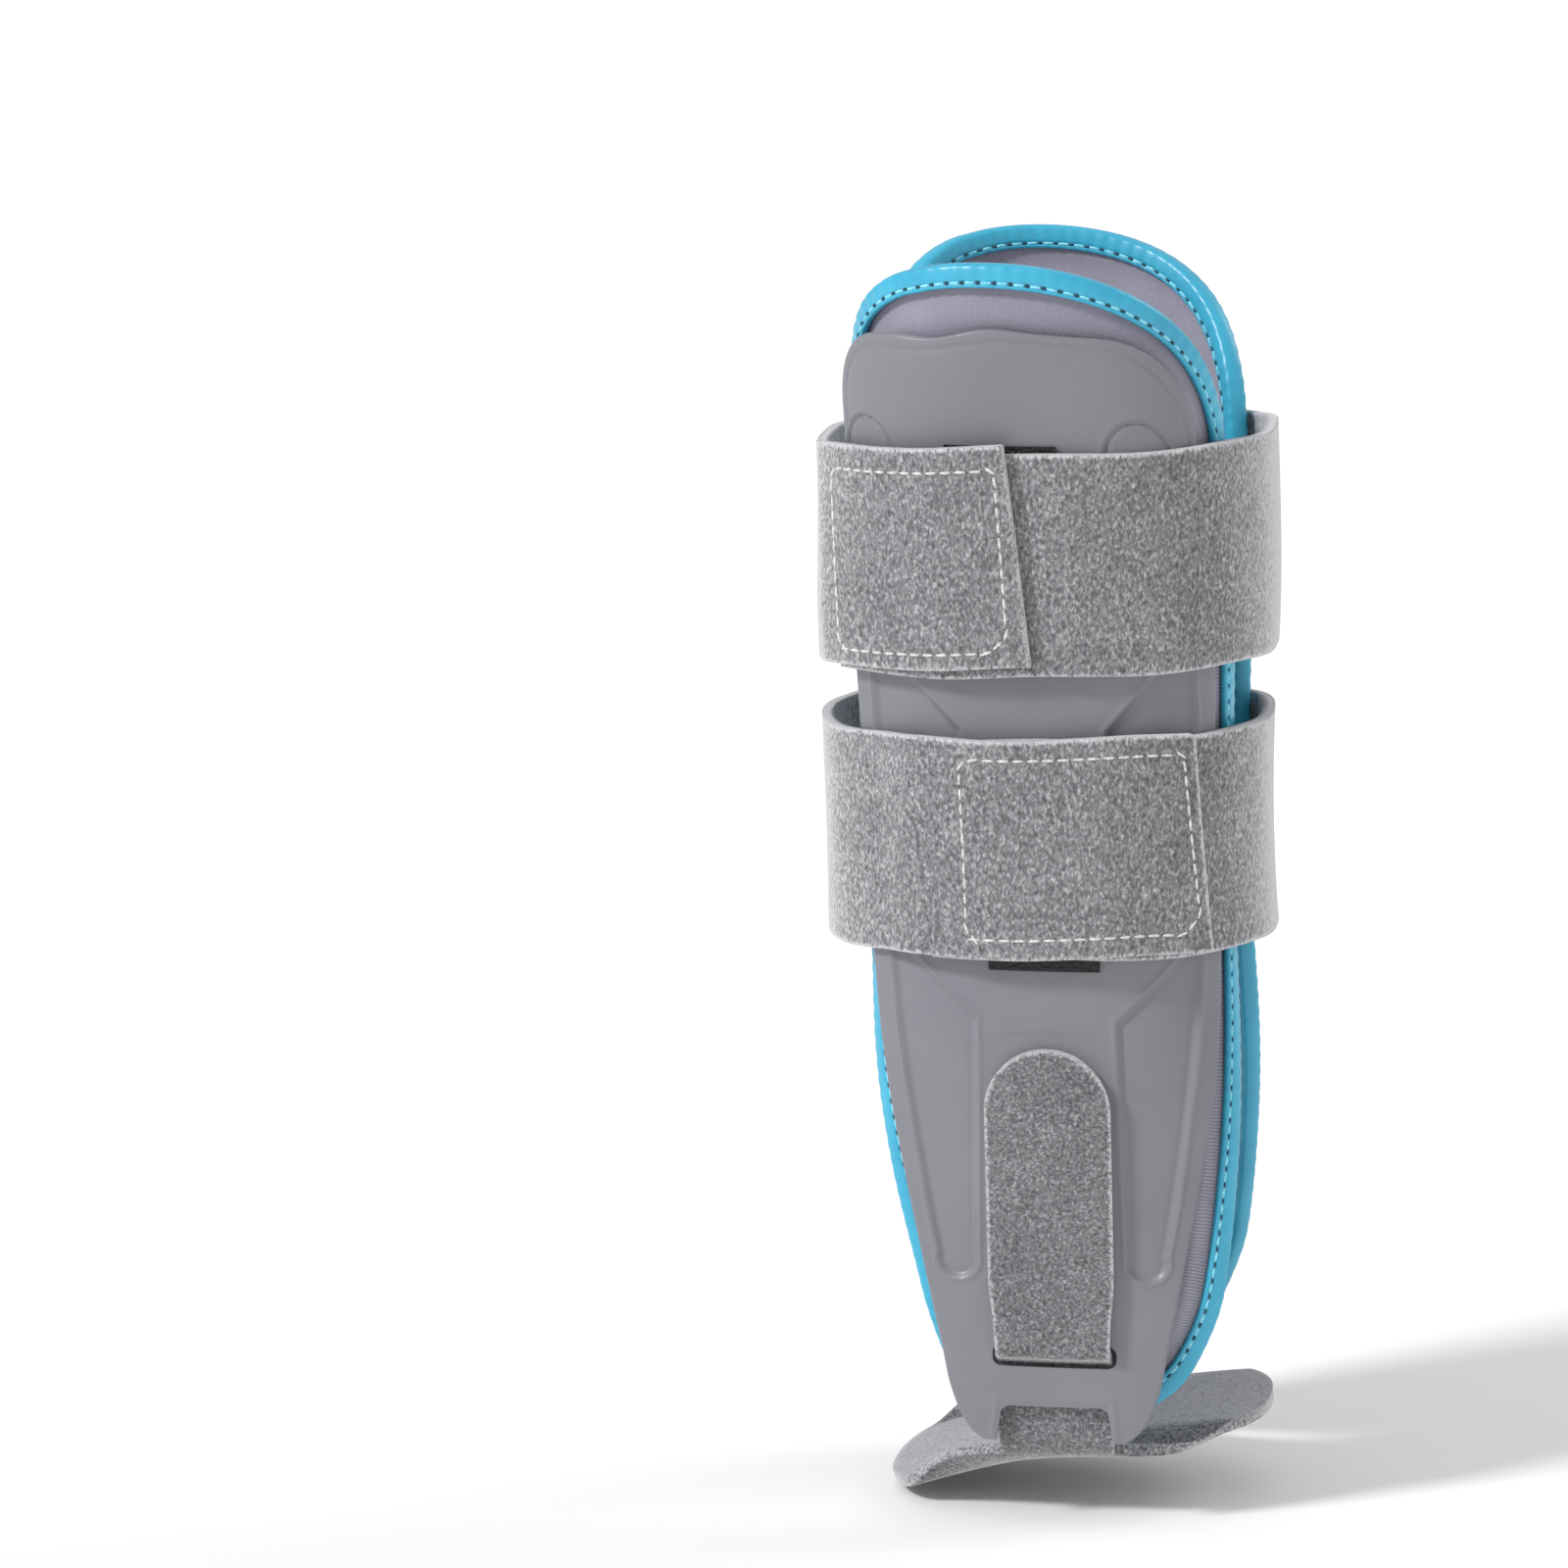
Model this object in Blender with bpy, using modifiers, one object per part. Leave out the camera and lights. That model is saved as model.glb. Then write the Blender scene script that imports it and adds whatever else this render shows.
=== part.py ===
"""Stirrup ankle brace: two plastic side shells with bound pads, two wrap straps and a heel strap.

Metres, +Z up the shank, +X to the heel's rear, the lateral side at -Y. The origin is the heel seat,
on top of the heel strap. Most pieces are laid out on one body form: a height above the shells' foot,
a distance round the form from the middle of the side, and an offset outwards from the shells' face.
"""
import math

import bmesh
import bpy
import numpy as np
from mathutils import Vector

NAME = "stirrup_ankle_brace"

# Body form that the shells' outer faces lie on
SHELL_HEIGHT = 0.254
FORM_FRONT = 0.0505
FORM_REAR = 0.0480
FORM_SIDE = 0.0570
FORM_LEAN = 0.0085
LEAN_POWER = 1.5
FORM_SQUARENESS = 2.5
FORM_STEP = 0.0015
SEAT_TO_SHELL = 0.0040
FORM_SECTIONS = (  # height, front, rear, side: shares of SHELL_HEIGHT, FORM_FRONT, FORM_REAR, FORM_SIDE
    (-0.10, 1.16, 1.22, 0.700),
    (0.00, 1.16, 1.20, 0.725),
    (0.16, 1.13, 1.14, 0.772),
    (0.31, 1.08, 1.06, 0.800),
    (0.43, 1.03, 0.97, 0.808),
    (0.53, 1.02, 0.95, 0.820),
    (0.64, 1.02, 0.97, 0.848),
    (0.73, 1.02, 1.01, 0.873),
    (0.90, 0.98, 1.03, 0.945),
    (1.00, 0.98, 1.03, 1.000),
    (1.10, 0.98, 1.04, 1.050),
)

# Gaps between neighbouring pieces
SEAT_GAP = 0.0003
PAD_GAP = 0.0006
WRAP_GAP = 0.0005

# Shells
SHELL_WALL = 0.0026
SHELL_HALF = 0.0450
SHELL_SWAY = 0.0056
SHELL_CORNER_FRONT = 0.0175
SHELL_CORNER_REAR = 0.0240
SHELL_CROWN = (  # share across the top edge, how far it rises there
    (0.00, 0.0),
    (0.12, 0.0),
    (0.29, -0.0004),
    (0.54, 0.0018),
    (0.78, 0.0008),
    (1.00, 0.0),
)
CROWN_FROM = 0.85
SHELL_EDGE = 0.0006
SHELL_OUTLINE = (  # height share of SHELL_HEIGHT, half width share of SHELL_HALF
    (0.000, 0.370),
    (0.008, 0.430),
    (0.018, 0.472),
    (0.041, 0.528),
    (0.090, 0.590),
    (0.175, 0.695),
    (0.260, 0.800),
    (0.320, 0.872),
    (0.385, 0.935),
    (0.450, 0.975),
    (0.600, 1.000),
    (1.000, 1.020),
)
SLOT_HEIGHT = 0.0204
SLOT_TALL = 0.0052
SLOT_FADE = 0.0200
NOTCH_TOP = 0.0084
NOTCH_HALF_TOP = 0.0122
NOTCH_HALF_FOOT = 0.0144
NOTCH_ROUND = 0.0020

# Pads
PAD_THICK = 0.0110
PAD_FLANGE = 0.0013
PAD_TOP_REACH = 0.0145
PAD_FRONT_REACH = 0.0060
PAD_REAR_REACH = 0.0090
PAD_FOOT = 0.0055
PAD_ARCH_FRONT = {"drop": 0.0290, "power": 2.2}
PAD_ARCH_REAR = {"drop": 0.0390, "power": 2.0}
PAD_ARCH_TURN = math.radians(66)
PAD_FOOT_ROUND = 0.0260
PAD_FOOT_INSET = 0.62
PAD_SLOPE = 0.0110
PAD_REACHES = (  # height share of SHELL_HEIGHT, front share of PAD_FRONT_REACH, rear of PAD_REAR_REACH
    (0.00, 0.30, 0.90),
    (0.14, 0.45, 1.15),
    (0.25, 0.90, 1.05),
    (0.35, 1.10, 0.90),
    (0.45, 1.00, 0.90),
    (0.65, 0.50, 1.05),
    (1.00, 0.50, 1.25),
)

# Bindings: a folded tape of this wall over the pads' thin edge
BINDING_WIDTH = 0.0055
BINDING_WALL = 0.0008
BINDING_GAP = 0.0010

# Wrap straps
STRAP_WIDTH = 0.0500
STRAP_THICK = 0.0022
LAYER_GAP = 0.0003
STEP_LENGTH = 0.0130
STEP_SHORT = 0.0012
SLANT_FADE = 0.0300
CLIMB_FADE = 0.0900
UPPER_STRAP = {
    "height": 0.799 * SHELL_HEIGHT, "tilt": 0.030, "end": -0.0016, "overlap": 0.0480, "slant": 0.0018,
    "climb": 0.0024,
}
LOWER_STRAP = {
    "height": 0.545 * SHELL_HEIGHT, "tilt": 0.010, "end": 0.0350, "overlap": 0.0600, "slant": 0.0018,
    "climb": 0.0010,
}

# Hook patches on the shells
PATCH_WIDTH = 0.0250
PATCH_THICK = 0.0008
PATCH_TALL = 0.0420
PATCH_FADE = 0.0100
UPPER_PATCH = {"along": -0.0050, "show": 0.0018}
LOWER_PATCH = {"along": 0.0, "show": 0.0030}

# Heel strap
HEEL_THICK = 0.0026
TAB_HALF = 0.0142
TAB_TOP = 0.0925
SLOT_TAB_HALF = 0.0130
SLOT_CLEAR = 0.0012
FOLD_RADIUS = 0.0019
FOLD_SLOPE = math.radians(25)
FOLD_CLEAR = 0.0080
HEEL_BEND = 0.0090
HEEL_FRONT = 0.0415
HEEL_REAR = 0.0465
HEEL_SIDE = 0.0330
HEEL_TILT = math.radians(12.8)
HEEL_DROP = 0.0027
HEEL_ROUND = 2.5

# Mesh density
SHELL_COLUMNS = 12
PAD_MIDDLES = 8
CORNER_STEPS = 5
ARCH_STEPS = 8
STRAP_STATIONS = 72
HEEL_COLUMNS = 6
FORM_SAMPLES = 361


def clear_scene():
    for item in list(bpy.data.objects):
        bpy.data.objects.remove(item, do_unlink=True)


def smoothstep(low, high, value):
    share = min(max((value - low) / (high - low), 0.0), 1.0)
    return share * share * (3 - 2 * share)


def mix(first, second, share):
    return first + (second - first) * share


def read_table(table, column, share):
    """A smooth curve through one column of a table whose first column is the share."""
    xs = np.array([row[0] for row in table])
    ys = np.array([row[column] for row in table])
    slopes = np.gradient(ys, xs)
    place = int(np.clip(np.searchsorted(xs, share) - 1, 0, len(xs) - 2))
    span = xs[place + 1] - xs[place]
    t = min(max((share - xs[place]) / span, 0.0), 1.0)
    start, end = ys[place], ys[place + 1]
    start_pull, end_pull = slopes[place] * span, slopes[place + 1] * span
    return float(start * (2 * t**3 - 3 * t**2 + 1) + start_pull * (t**3 - 2 * t**2 + t)
                 + end * (3 * t**2 - 2 * t**3) + end_pull * (t**3 - t**2))


def form_section(height):
    share = height / SHELL_HEIGHT
    return {
        "centre": -FORM_LEAN * max(share, 0.0)**LEAN_POWER,
        "front": FORM_FRONT * read_table(FORM_SECTIONS, 1, share),
        "rear": FORM_REAR * read_table(FORM_SECTIONS, 2, share),
        "side": FORM_SIDE * read_table(FORM_SECTIONS, 3, share),
    }


def form_curve(height):
    """Plan curve of the whole form at a height, from the front round the lateral side and back."""
    section = form_section(height)
    angle = np.linspace(-math.pi, math.pi, 2 * FORM_SAMPLES - 1)
    power = 2 / FORM_SQUARENESS
    sine, cosine = np.sin(angle), np.cos(angle)
    reach = np.where(sine < 0, section["front"], section["rear"])
    x = np.sign(sine) * reach * np.abs(sine)**power
    y = -np.sign(cosine) * section["side"] * np.abs(cosine)**power
    steps = np.hypot(np.diff(x), np.diff(y))
    length = np.concatenate([[0.0], np.cumsum(steps)])
    length -= length[FORM_SAMPLES - 1]
    return section["centre"] + x, y, length


def loop_length(height):
    length = form_curve(height)[2]
    return float(length[-1] - length[0])


def form_point(height, along, outwards):
    """The point at a distance round the form, moved outwards level along the form's normal."""
    x, y, length = form_curve(height)
    total = length[-1] - length[0]
    place = (along - length[0]) % total + length[0]
    here = np.array([np.interp(place, length, x), np.interp(place, length, y)])
    before = (place - FORM_STEP - length[0]) % total + length[0]
    after = (place + FORM_STEP - length[0]) % total + length[0]
    run = np.array([np.interp(after, length, x) - np.interp(before, length, x),
                    np.interp(after, length, y) - np.interp(before, length, y)])
    run /= np.hypot(*run)
    normal = np.array([run[1], -run[0]])
    spot = here + normal * outwards
    return Vector((spot[0], spot[1], height + SEAT_TO_SHELL)), Vector((normal[0], normal[1], 0.0))


def material(name, colour, roughness, metallic=0.0):
    made = bpy.data.materials.new(name)
    made.use_nodes = True
    shader = made.node_tree.nodes["Principled BSDF"]
    shader.inputs["Base Color"].default_value = (*colour, 1.0)
    shader.inputs["Roughness"].default_value = roughness
    shader.inputs["Metallic"].default_value = metallic
    return made


def finish(name, mesh_source, surface, collection):
    mesh = bpy.data.meshes.new(name)
    bmesh.ops.recalc_face_normals(mesh_source, faces=mesh_source.faces)
    mesh_source.to_mesh(mesh)
    mesh_source.free()
    made = bpy.data.objects.new(name, mesh)
    made.data.materials.append(surface)
    collection.objects.link(made)
    return made


def grid_sheet(name, columns, rows, place, surface, collection):
    """A create_grid sheet whose vertices are moved to place(column share, row share)."""
    sheet = bmesh.new()
    bmesh.ops.create_grid(sheet, x_segments=columns, y_segments=rows, size=1.0)
    for vertex in sheet.verts:
        across = (vertex.co.x + 1) / 2
        up = (vertex.co.y + 1) / 2
        vertex.co = place(across, up)
    return finish(name, sheet, surface, collection)


def thicken(made, thickness, side):
    """Solidify with side 1 to the sheet's outer side, -1 to its inner side and 0 for both."""
    shell = made.modifiers.new("Wall", "SOLIDIFY")
    shell.thickness = thickness
    shell.offset = side
    shell.use_even_offset = True
    return shell


def face_outwards(made):
    """Turn a sheet's faces away from the leg, so that Solidify's sides are known."""
    mesh = made.data
    centre = Vector((0.0, 0.0, 0.0))
    score = 0.0
    for face in mesh.polygons:
        level = Vector((face.center.x - centre.x, face.center.y - centre.y, 0.0))
        score += face.normal.dot(level) * face.area
    if score < 0:
        mesh.flip_normals()


def mirrored(source, name, collection):
    """The medial copy of a lateral piece, mirrored in the plane Y = 0."""
    mesh = source.data.copy()
    mesh.name = name
    for vertex in mesh.vertices:
        vertex.co.y = -vertex.co.y
    mesh.flip_normals()
    made = bpy.data.objects.new(name, mesh)
    collection.objects.link(made)
    return made


def shell_half(height):
    return SHELL_HALF * read_table(SHELL_OUTLINE, 1, height / SHELL_HEIGHT)


def shell_middle(height):
    """How far the shell's middle line sways to the front, along the form."""
    return -SHELL_SWAY * max(2 * height / SHELL_HEIGHT - 1, 0.0)**LEAN_POWER


def corner_inset(height, radius):
    """How far a rounded top corner draws the shell's edge in at a height."""
    rise = min(max(height - (SHELL_HEIGHT - radius), 0.0), radius)
    return radius - math.sqrt(radius**2 - rise**2)


def shell_rows():
    """Heights with the shell's front and rear edges: straight up the sides, then round the top corners."""
    bend = SHELL_HEIGHT - SHELL_CORNER_REAR
    heights = [bend * share for share in
               (0, 0.009, 0.02, 0.045, 0.09, 0.14, 0.20, 0.28, 0.36, 0.45, 0.55, 0.66, 0.77, 0.89, 1.0)]
    for step in range(1, CORNER_STEPS + 1):
        heights.append(bend + SHELL_CORNER_REAR * math.sin(math.pi / 2 * step / CORNER_STEPS))
    rows = []
    for height in heights:
        middle, half = shell_middle(height), shell_half(height)
        front = middle - half + corner_inset(height, SHELL_CORNER_FRONT)
        rear = middle + half - corner_inset(height, SHELL_CORNER_REAR)
        rows.append((height, front, rear))
    return rows


def build_shell(surface, collection, cutters):
    rows = shell_rows()

    def place(across, up):
        height, front, rear = rows[round(up * (len(rows) - 1))]
        crown = read_table(SHELL_CROWN, 1, across) * smoothstep(CROWN_FROM, 1.0, height / SHELL_HEIGHT)
        return form_point(height + crown, mix(front, rear, across), 0.0)[0]

    made = grid_sheet("lateral_shell", SHELL_COLUMNS, len(rows) - 1, place, surface, collection)
    face_outwards(made)
    thicken(made, SHELL_WALL, -1)
    for name, cutter in cutters.items():
        cut = made.modifiers.new(name, "BOOLEAN")
        cut.operation = "DIFFERENCE"
        cut.solver = "EXACT"
        cut.object = cutter
    edge = made.modifiers.new("Edge", "BEVEL")
    edge.width = SHELL_EDGE
    edge.segments = 1
    edge.limit_method = "ANGLE"
    edge.angle_limit = math.radians(50)
    return made


def build_cutters(collection):
    """The slot that the heel tab goes through and the notch below the bar."""
    side = form_section(SLOT_HEIGHT)["side"]
    depth = 8 * SHELL_WALL
    half_slot = SLOT_TAB_HALF + SLOT_CLEAR
    cutters = {}
    shapes = {
        "Slot": (SLOT_HEIGHT - SLOT_TALL / 2, SLOT_HEIGHT + SLOT_TALL / 2, half_slot, half_slot),
        "Notch": (-SEAT_TO_SHELL - SHELL_WALL, NOTCH_TOP, NOTCH_HALF_FOOT, NOTCH_HALF_TOP),
    }
    for name, (foot, top, half_foot, half_top) in shapes.items():
        block = bmesh.new()
        bmesh.ops.create_cube(block, size=1.0)
        for vertex in block.verts:
            high = vertex.co.z > 0
            half = half_top if high else half_foot
            vertex.co.x = math.copysign(half, vertex.co.x)
            vertex.co.y = -side + vertex.co.y * depth
            vertex.co.z = (top if high else foot) + SEAT_TO_SHELL
        uprights = [edge for edge in block.edges if abs(edge.verts[0].co.y - edge.verts[1].co.y) > depth / 2]
        bmesh.ops.bevel(block, geom=uprights, offset=NOTCH_ROUND, segments=3, profile=0.5, affect="EDGES")
        mesh = bpy.data.meshes.new(name)
        block.to_mesh(mesh)
        block.free()
        cutter = bpy.data.objects.new(name + "_cutter", mesh)
        cutter.hide_render = True
        cutter.display_type = "WIRE"
        collection.objects.link(cutter)
        cutters[name] = cutter
    return cutters


def arch_share(height, arch):
    """What share of its width the pad keeps at a height, on one side of its arched top."""
    drop, power = arch["drop"], arch["power"]
    rise = min(max((height - SHELL_HEIGHT - PAD_TOP_REACH + drop) / drop, 0.0), 1.0)
    return (1 - rise**power)**(1 / power)


def pad_edges(height):
    """The pad's front and rear edges along the form, before its foot is rounded."""
    share = min(height / SHELL_HEIGHT, 1.0)
    middle, half = shell_middle(height), shell_half(height)
    front = half + PAD_FRONT_REACH * read_table(PAD_REACHES, 1, share)
    rear = half + PAD_REAR_REACH * read_table(PAD_REACHES, 2, share)
    return (middle - front * arch_share(height, PAD_ARCH_FRONT),
            middle + rear * arch_share(height, PAD_ARCH_REAR))


def pad_rows():
    """Each row's ends on the pad's edge: front along, front height, rear along, rear height."""
    top = SHELL_HEIGHT + PAD_TOP_REACH
    low = PAD_FOOT + PAD_FOOT_ROUND
    rows = []
    front_low, rear_low = pad_edges(low)
    for step in range(CORNER_STEPS):
        angle = math.pi / 2 * (1 - step / CORNER_STEPS)
        height = low - PAD_FOOT_ROUND * math.sin(angle)
        front, rear = pad_edges(height)
        inset = PAD_FOOT_INSET * (1 - math.cos(angle))**LEAN_POWER
        rows.append((front - front_low * inset, height, rear - rear_low * inset, height))
    heights = [(low, low)]
    for share in (0.1, 0.22, 0.35, 0.48, 0.61, 0.74, 0.87, 1.0):
        heights.append((mix(low, top - PAD_ARCH_FRONT["drop"], share), mix(low, top - PAD_ARCH_REAR["drop"], share)))
    for step in range(1, ARCH_STEPS + 1):
        climb = math.sin(PAD_ARCH_TURN * step / ARCH_STEPS)
        heights.append(tuple(top - arch["drop"] * (1 - climb**(2 / arch["power"]))
                             for arch in (PAD_ARCH_FRONT, PAD_ARCH_REAR)))
    for front_height, rear_height in heights:
        rows.append((pad_edges(front_height)[0], front_height, pad_edges(rear_height)[1], rear_height))
    return rows


def pad_spot(rows, row, across):
    """A place in a row of the pad; the rows bow up into the arch towards the top."""
    front, front_height, rear, rear_height = rows[row]
    along = mix(front, rear, across)
    height = mix(front_height, rear_height, across)
    bow = max(row - len(rows) + 1 + ARCH_STEPS, 0) / ARCH_STEPS
    if bow:
        top = SHELL_HEIGHT + PAD_TOP_REACH
        front_full, rear_full = pad_edges(top - PAD_ARCH_REAR["drop"])
        middle = shell_middle(top)
        arch, full = (PAD_ARCH_FRONT, front_full) if along < middle else (PAD_ARCH_REAR, rear_full)
        share = min(abs((along - middle) / (full - middle)), 1.0)
        arched = top - arch["drop"] * (1 - (1 - share**arch["power"])**(1 / arch["power"]))
        height += max(arched - height, 0.0) * bow**2
    return along, height


def pad_across(rows, row, column):
    """Where a column of the pad crosses a row: its outer columns mark off the flange."""
    if column in (0, PAD_MIDDLES + 2):
        return column / (PAD_MIDDLES + 2)
    flange = min(1.25 * BINDING_WIDTH / (rows[row][2] - rows[row][0]), 0.2)
    return mix(flange, 1 - flange, (column - 1) / PAD_MIDDLES)


def pad_boundary(rows):
    """The pad's edge as (along, height) pairs, once round from the front of its foot."""
    last, inner = len(rows) - 1, range(1, PAD_MIDDLES + 2)
    loop = [(row[0], row[1]) for row in rows]
    loop += [pad_spot(rows, last, pad_across(rows, last, column)) for column in inner]
    loop += [(row[2], row[3]) for row in reversed(rows)]
    loop += [pad_spot(rows, 0, pad_across(rows, 0, column)) for column in reversed(inner)]
    return loop


def edge_distance(loop, along, height):
    points = np.array(loop)
    following = np.roll(points, -1, axis=0)
    run = following - points
    reach = np.array([along, height]) - points
    size = np.maximum((run**2).sum(axis=1), 1e-12)
    share = np.clip((reach * run).sum(axis=1) / size, 0.0, 1.0)
    gap = reach - run * share[:, None]
    return float(np.sqrt((gap**2).sum(axis=1)).min())


def pad_depth(loop, along, height):
    """How far the pad's outer face lies inside the form: deeper at its front edge and behind the heel strap."""
    depth = SHELL_WALL + PAD_GAP
    tuck = PAD_GAP + BINDING_WALL + BINDING_GAP
    forward = smoothstep(0.1, -0.8, along / shell_half(height))
    foot = smoothstep(PAD_FOOT + 1.15 * PAD_FOOT_ROUND, PAD_FOOT + 0.3 * PAD_FOOT_ROUND, height)
    near_edge = smoothstep(2.2 * BINDING_WIDTH, 1.2 * BINDING_WIDTH, edge_distance(loop, along, height))
    depth += tuck * max(forward, foot) * near_edge
    low = smoothstep(SLOT_HEIGHT + SLOT_FADE, SLOT_HEIGHT + SLOT_TALL, height)
    beside = smoothstep(1.9 * SLOT_TAB_HALF, 1.2 * SLOT_TAB_HALF, abs(along))
    return depth + (HEEL_THICK + SEAT_GAP) * low * max(beside, foot)


def pad_thickness(loop, along, height):
    gap = edge_distance(loop, along, height)
    start = 1.15 * BINDING_WIDTH
    return mix(PAD_FLANGE, PAD_THICK, smoothstep(start, start + PAD_SLOPE, gap))


def build_pad(surface, collection):
    rows = pad_rows()
    loop = pad_boundary(rows)
    columns = PAD_MIDDLES + 2

    def spot(across, up):
        row = round(up * (len(rows) - 1))
        return pad_spot(rows, row, pad_across(rows, row, round(across * columns)))

    def place(across, up):
        along, height = spot(across, up)
        return form_point(height, along, -pad_depth(loop, along, height))[0]

    made = grid_sheet("lateral_pad", columns, len(rows) - 1, place, surface, collection)
    face_outwards(made)
    foam = made.vertex_groups.new(name="Foam")
    for vertex in made.data.vertices:
        row, column = divmod(vertex.index, columns + 1)
        along, height = spot(column / columns, row / (len(rows) - 1))
        foam.add([vertex.index], pad_thickness(loop, along, height) / PAD_THICK, "REPLACE")
    wall = thicken(made, PAD_THICK, -1)
    wall.vertex_group = "Foam"
    wall.use_even_offset = False
    return made, loop


def build_binding(loop, surface, collection):
    """A folded tape round the pad's edge: one U-shaped section carried along the edge's loop."""
    leg = PAD_FLANGE / 2 + BINDING_GAP
    back = leg + BINDING_WALL
    nose = BINDING_GAP + BINDING_WALL
    tail = nose - BINDING_WIDTH
    round_off = BINDING_WALL * 0.7
    profile = (
        (tail, back), (nose - round_off, back), (nose, back - round_off), (nose, round_off - back),
        (nose - round_off, -back), (tail, -back), (tail, -leg), (BINDING_GAP, -leg), (BINDING_GAP, leg),
        (tail, leg),
    )
    centres, normals = [], []
    for along, height in loop:
        depth = pad_depth(loop, along, height) + PAD_FLANGE / 2
        centre, normal = form_point(height, along, -depth)
        centres.append(centre)
        normals.append(normal)
    tape = bmesh.new()
    rings = []
    count = len(centres)
    for index in range(count):
        run = (centres[(index + 1) % count] - centres[index - 1]).normalized()
        outwards = normals[index].cross(run).normalized()
        normal = run.cross(outwards).normalized()
        rings.append([tape.verts.new(centres[index] + outwards * e + normal * n) for e, n in profile])
    for index in range(count):
        ring, following = rings[index], rings[(index + 1) % count]
        for corner in range(len(profile)):
            beside = (corner + 1) % len(profile)
            tape.faces.new((ring[corner], ring[beside], following[beside], following[corner]))
    return finish("lateral_binding", tape, surface, collection)


def patch_centre(patch):
    """A patch's middle, along and up: it shows above the upper strap, or below the lower one."""
    if patch == "upper":
        return UPPER_PATCH["along"], UPPER_STRAP["height"] + (STRAP_WIDTH - PATCH_TALL) / 2 + UPPER_PATCH["show"]
    return LOWER_PATCH["along"], LOWER_STRAP["height"] - (STRAP_WIDTH - PATCH_TALL) / 2 - LOWER_PATCH["show"]


def build_patch(patch, surface, collection):
    along, middle = patch_centre(patch)

    def place(across, up):
        height = middle + PATCH_TALL * (up - 0.5)
        return form_point(height, along + PATCH_WIDTH * (across - 0.5), SEAT_GAP)[0]

    made = grid_sheet("lateral_" + patch + "_patch", 4, 5, place, surface, collection)
    face_outwards(made)
    thicken(made, PATCH_THICK, 1)
    return made


def strap_lift(along, total, patch):
    """The strap's inner face rides over the hook patch near the middle of each shell."""
    lift = 0.0
    for middle in (patch["along"], total / 2 - patch["along"], -total / 2 - patch["along"]):
        away = abs(along - middle) - PATCH_WIDTH / 2 - SEAT_GAP
        lift = max(lift, smoothstep(PATCH_FADE, 0.0, away))
    return WRAP_GAP + (PATCH_THICK + SEAT_GAP) * lift


def build_strap(name, strap, patch, surface, collection):
    """One band from its hidden start, rearwards round both shells, to its end over the start."""
    total = loop_length(strap["height"])
    end = strap["end"] + total
    start = end - total - strap["overlap"]
    pitch = total / STRAP_STATIONS
    count = math.ceil((end - start) / pitch)
    layer = STRAP_THICK + LAYER_GAP

    def place(across, up):
        along = mix(start, end, across)
        edge = up - 0.5
        along -= strap["slant"] * edge * 2 * smoothstep(end - SLANT_FADE, end, along)
        section = form_section(strap["height"])
        x = form_point(strap["height"], along, 0.0)[0].x
        height = strap["height"] + STRAP_WIDTH * edge + strap["tilt"] * (x - section["centre"])
        height += strap["climb"] * smoothstep(end - CLIMB_FADE, end, along)
        height_total = loop_length(height)
        scaled = along / total * height_total
        over = smoothstep(start + total - STEP_LENGTH, start + total - STEP_SHORT, along)
        folded = (scaled + height_total / 2) % height_total - height_total / 2
        return form_point(height, scaled, strap_lift(folded, height_total, patch) + layer * over)[0]

    made = grid_sheet(name, count, 2, place, surface, collection)
    face_outwards(made)
    thicken(made, STRAP_THICK, 1)
    return made


def round_corners(corners):
    """A path through (y, z, radius) corners, each with a radius turned into an arc."""
    path = []
    for index, (y, z, radius) in enumerate(corners):
        here = np.array([y, z])
        if radius == 0:
            path.append(here)
            continue
        before = np.array(corners[index - 1][:2]) - here
        after = np.array(corners[index + 1][:2]) - here
        before /= np.hypot(*before)
        after /= np.hypot(*after)
        half = math.acos(float(np.clip(before @ after, -1, 1))) / 2
        bisector = (before + after) / np.hypot(*(before + after))
        centre = here + bisector * radius / math.sin(half)
        first = here + before * radius / math.tan(half) - centre
        last = here + after * radius / math.tan(half) - centre
        turn = math.pi - 2 * half
        sign = math.copysign(1, first[0] * last[1] - first[1] * last[0])
        steps = max(3, round(math.degrees(turn) / 18))
        for step in range(steps + 1):
            angle = sign * turn * step / steps
            path.append(centre + np.array([first[0] * math.cos(angle) - first[1] * math.sin(angle),
                                           first[0] * math.sin(angle) + first[1] * math.cos(angle)]))
    return path


def heel_path():
    """Half of the heel strap's middle line in (y, z), from the tab's tip to the heel's middle."""
    outside = SEAT_GAP + HEEL_THICK / 2
    inside = -(SHELL_WALL + SEAT_GAP + HEEL_THICK / 2)
    drop = (outside - inside) / 2 * math.tan(FOLD_SLOPE)
    slot_side = form_section(SLOT_HEIGHT)["side"]
    floor = -SEAT_TO_SHELL - HEEL_THICK / 2
    corners = []
    bend = TAB_TOP - TAB_HALF
    for angle in (80, 62, 42, 21, 0):
        height = bend + TAB_HALF * math.sin(math.radians(angle))
        corners.append((-form_section(height)["side"] - outside, height, 0))
    for share in (0.25, 0.5, 0.75):
        height = mix(bend, SLOT_HEIGHT + FOLD_CLEAR, share)
        corners.append((-form_section(height)["side"] - outside, height, 0))
    corners.append((-slot_side - outside, SLOT_HEIGHT + drop, FOLD_RADIUS))
    corners.append((-slot_side - inside, SLOT_HEIGHT - drop, FOLD_RADIUS))
    corners.append((-form_section(NOTCH_TOP)["side"] - inside, NOTCH_TOP, 0))
    corners.append((-form_section(0.0)["side"] - inside, floor, HEEL_BEND))
    corners.append((-HEEL_SIDE * 0.6, floor, 0))
    corners.append((-HEEL_SIDE * 0.3, floor, 0))
    corners.append((0.0, floor, 0))
    return round_corners(corners)


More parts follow.
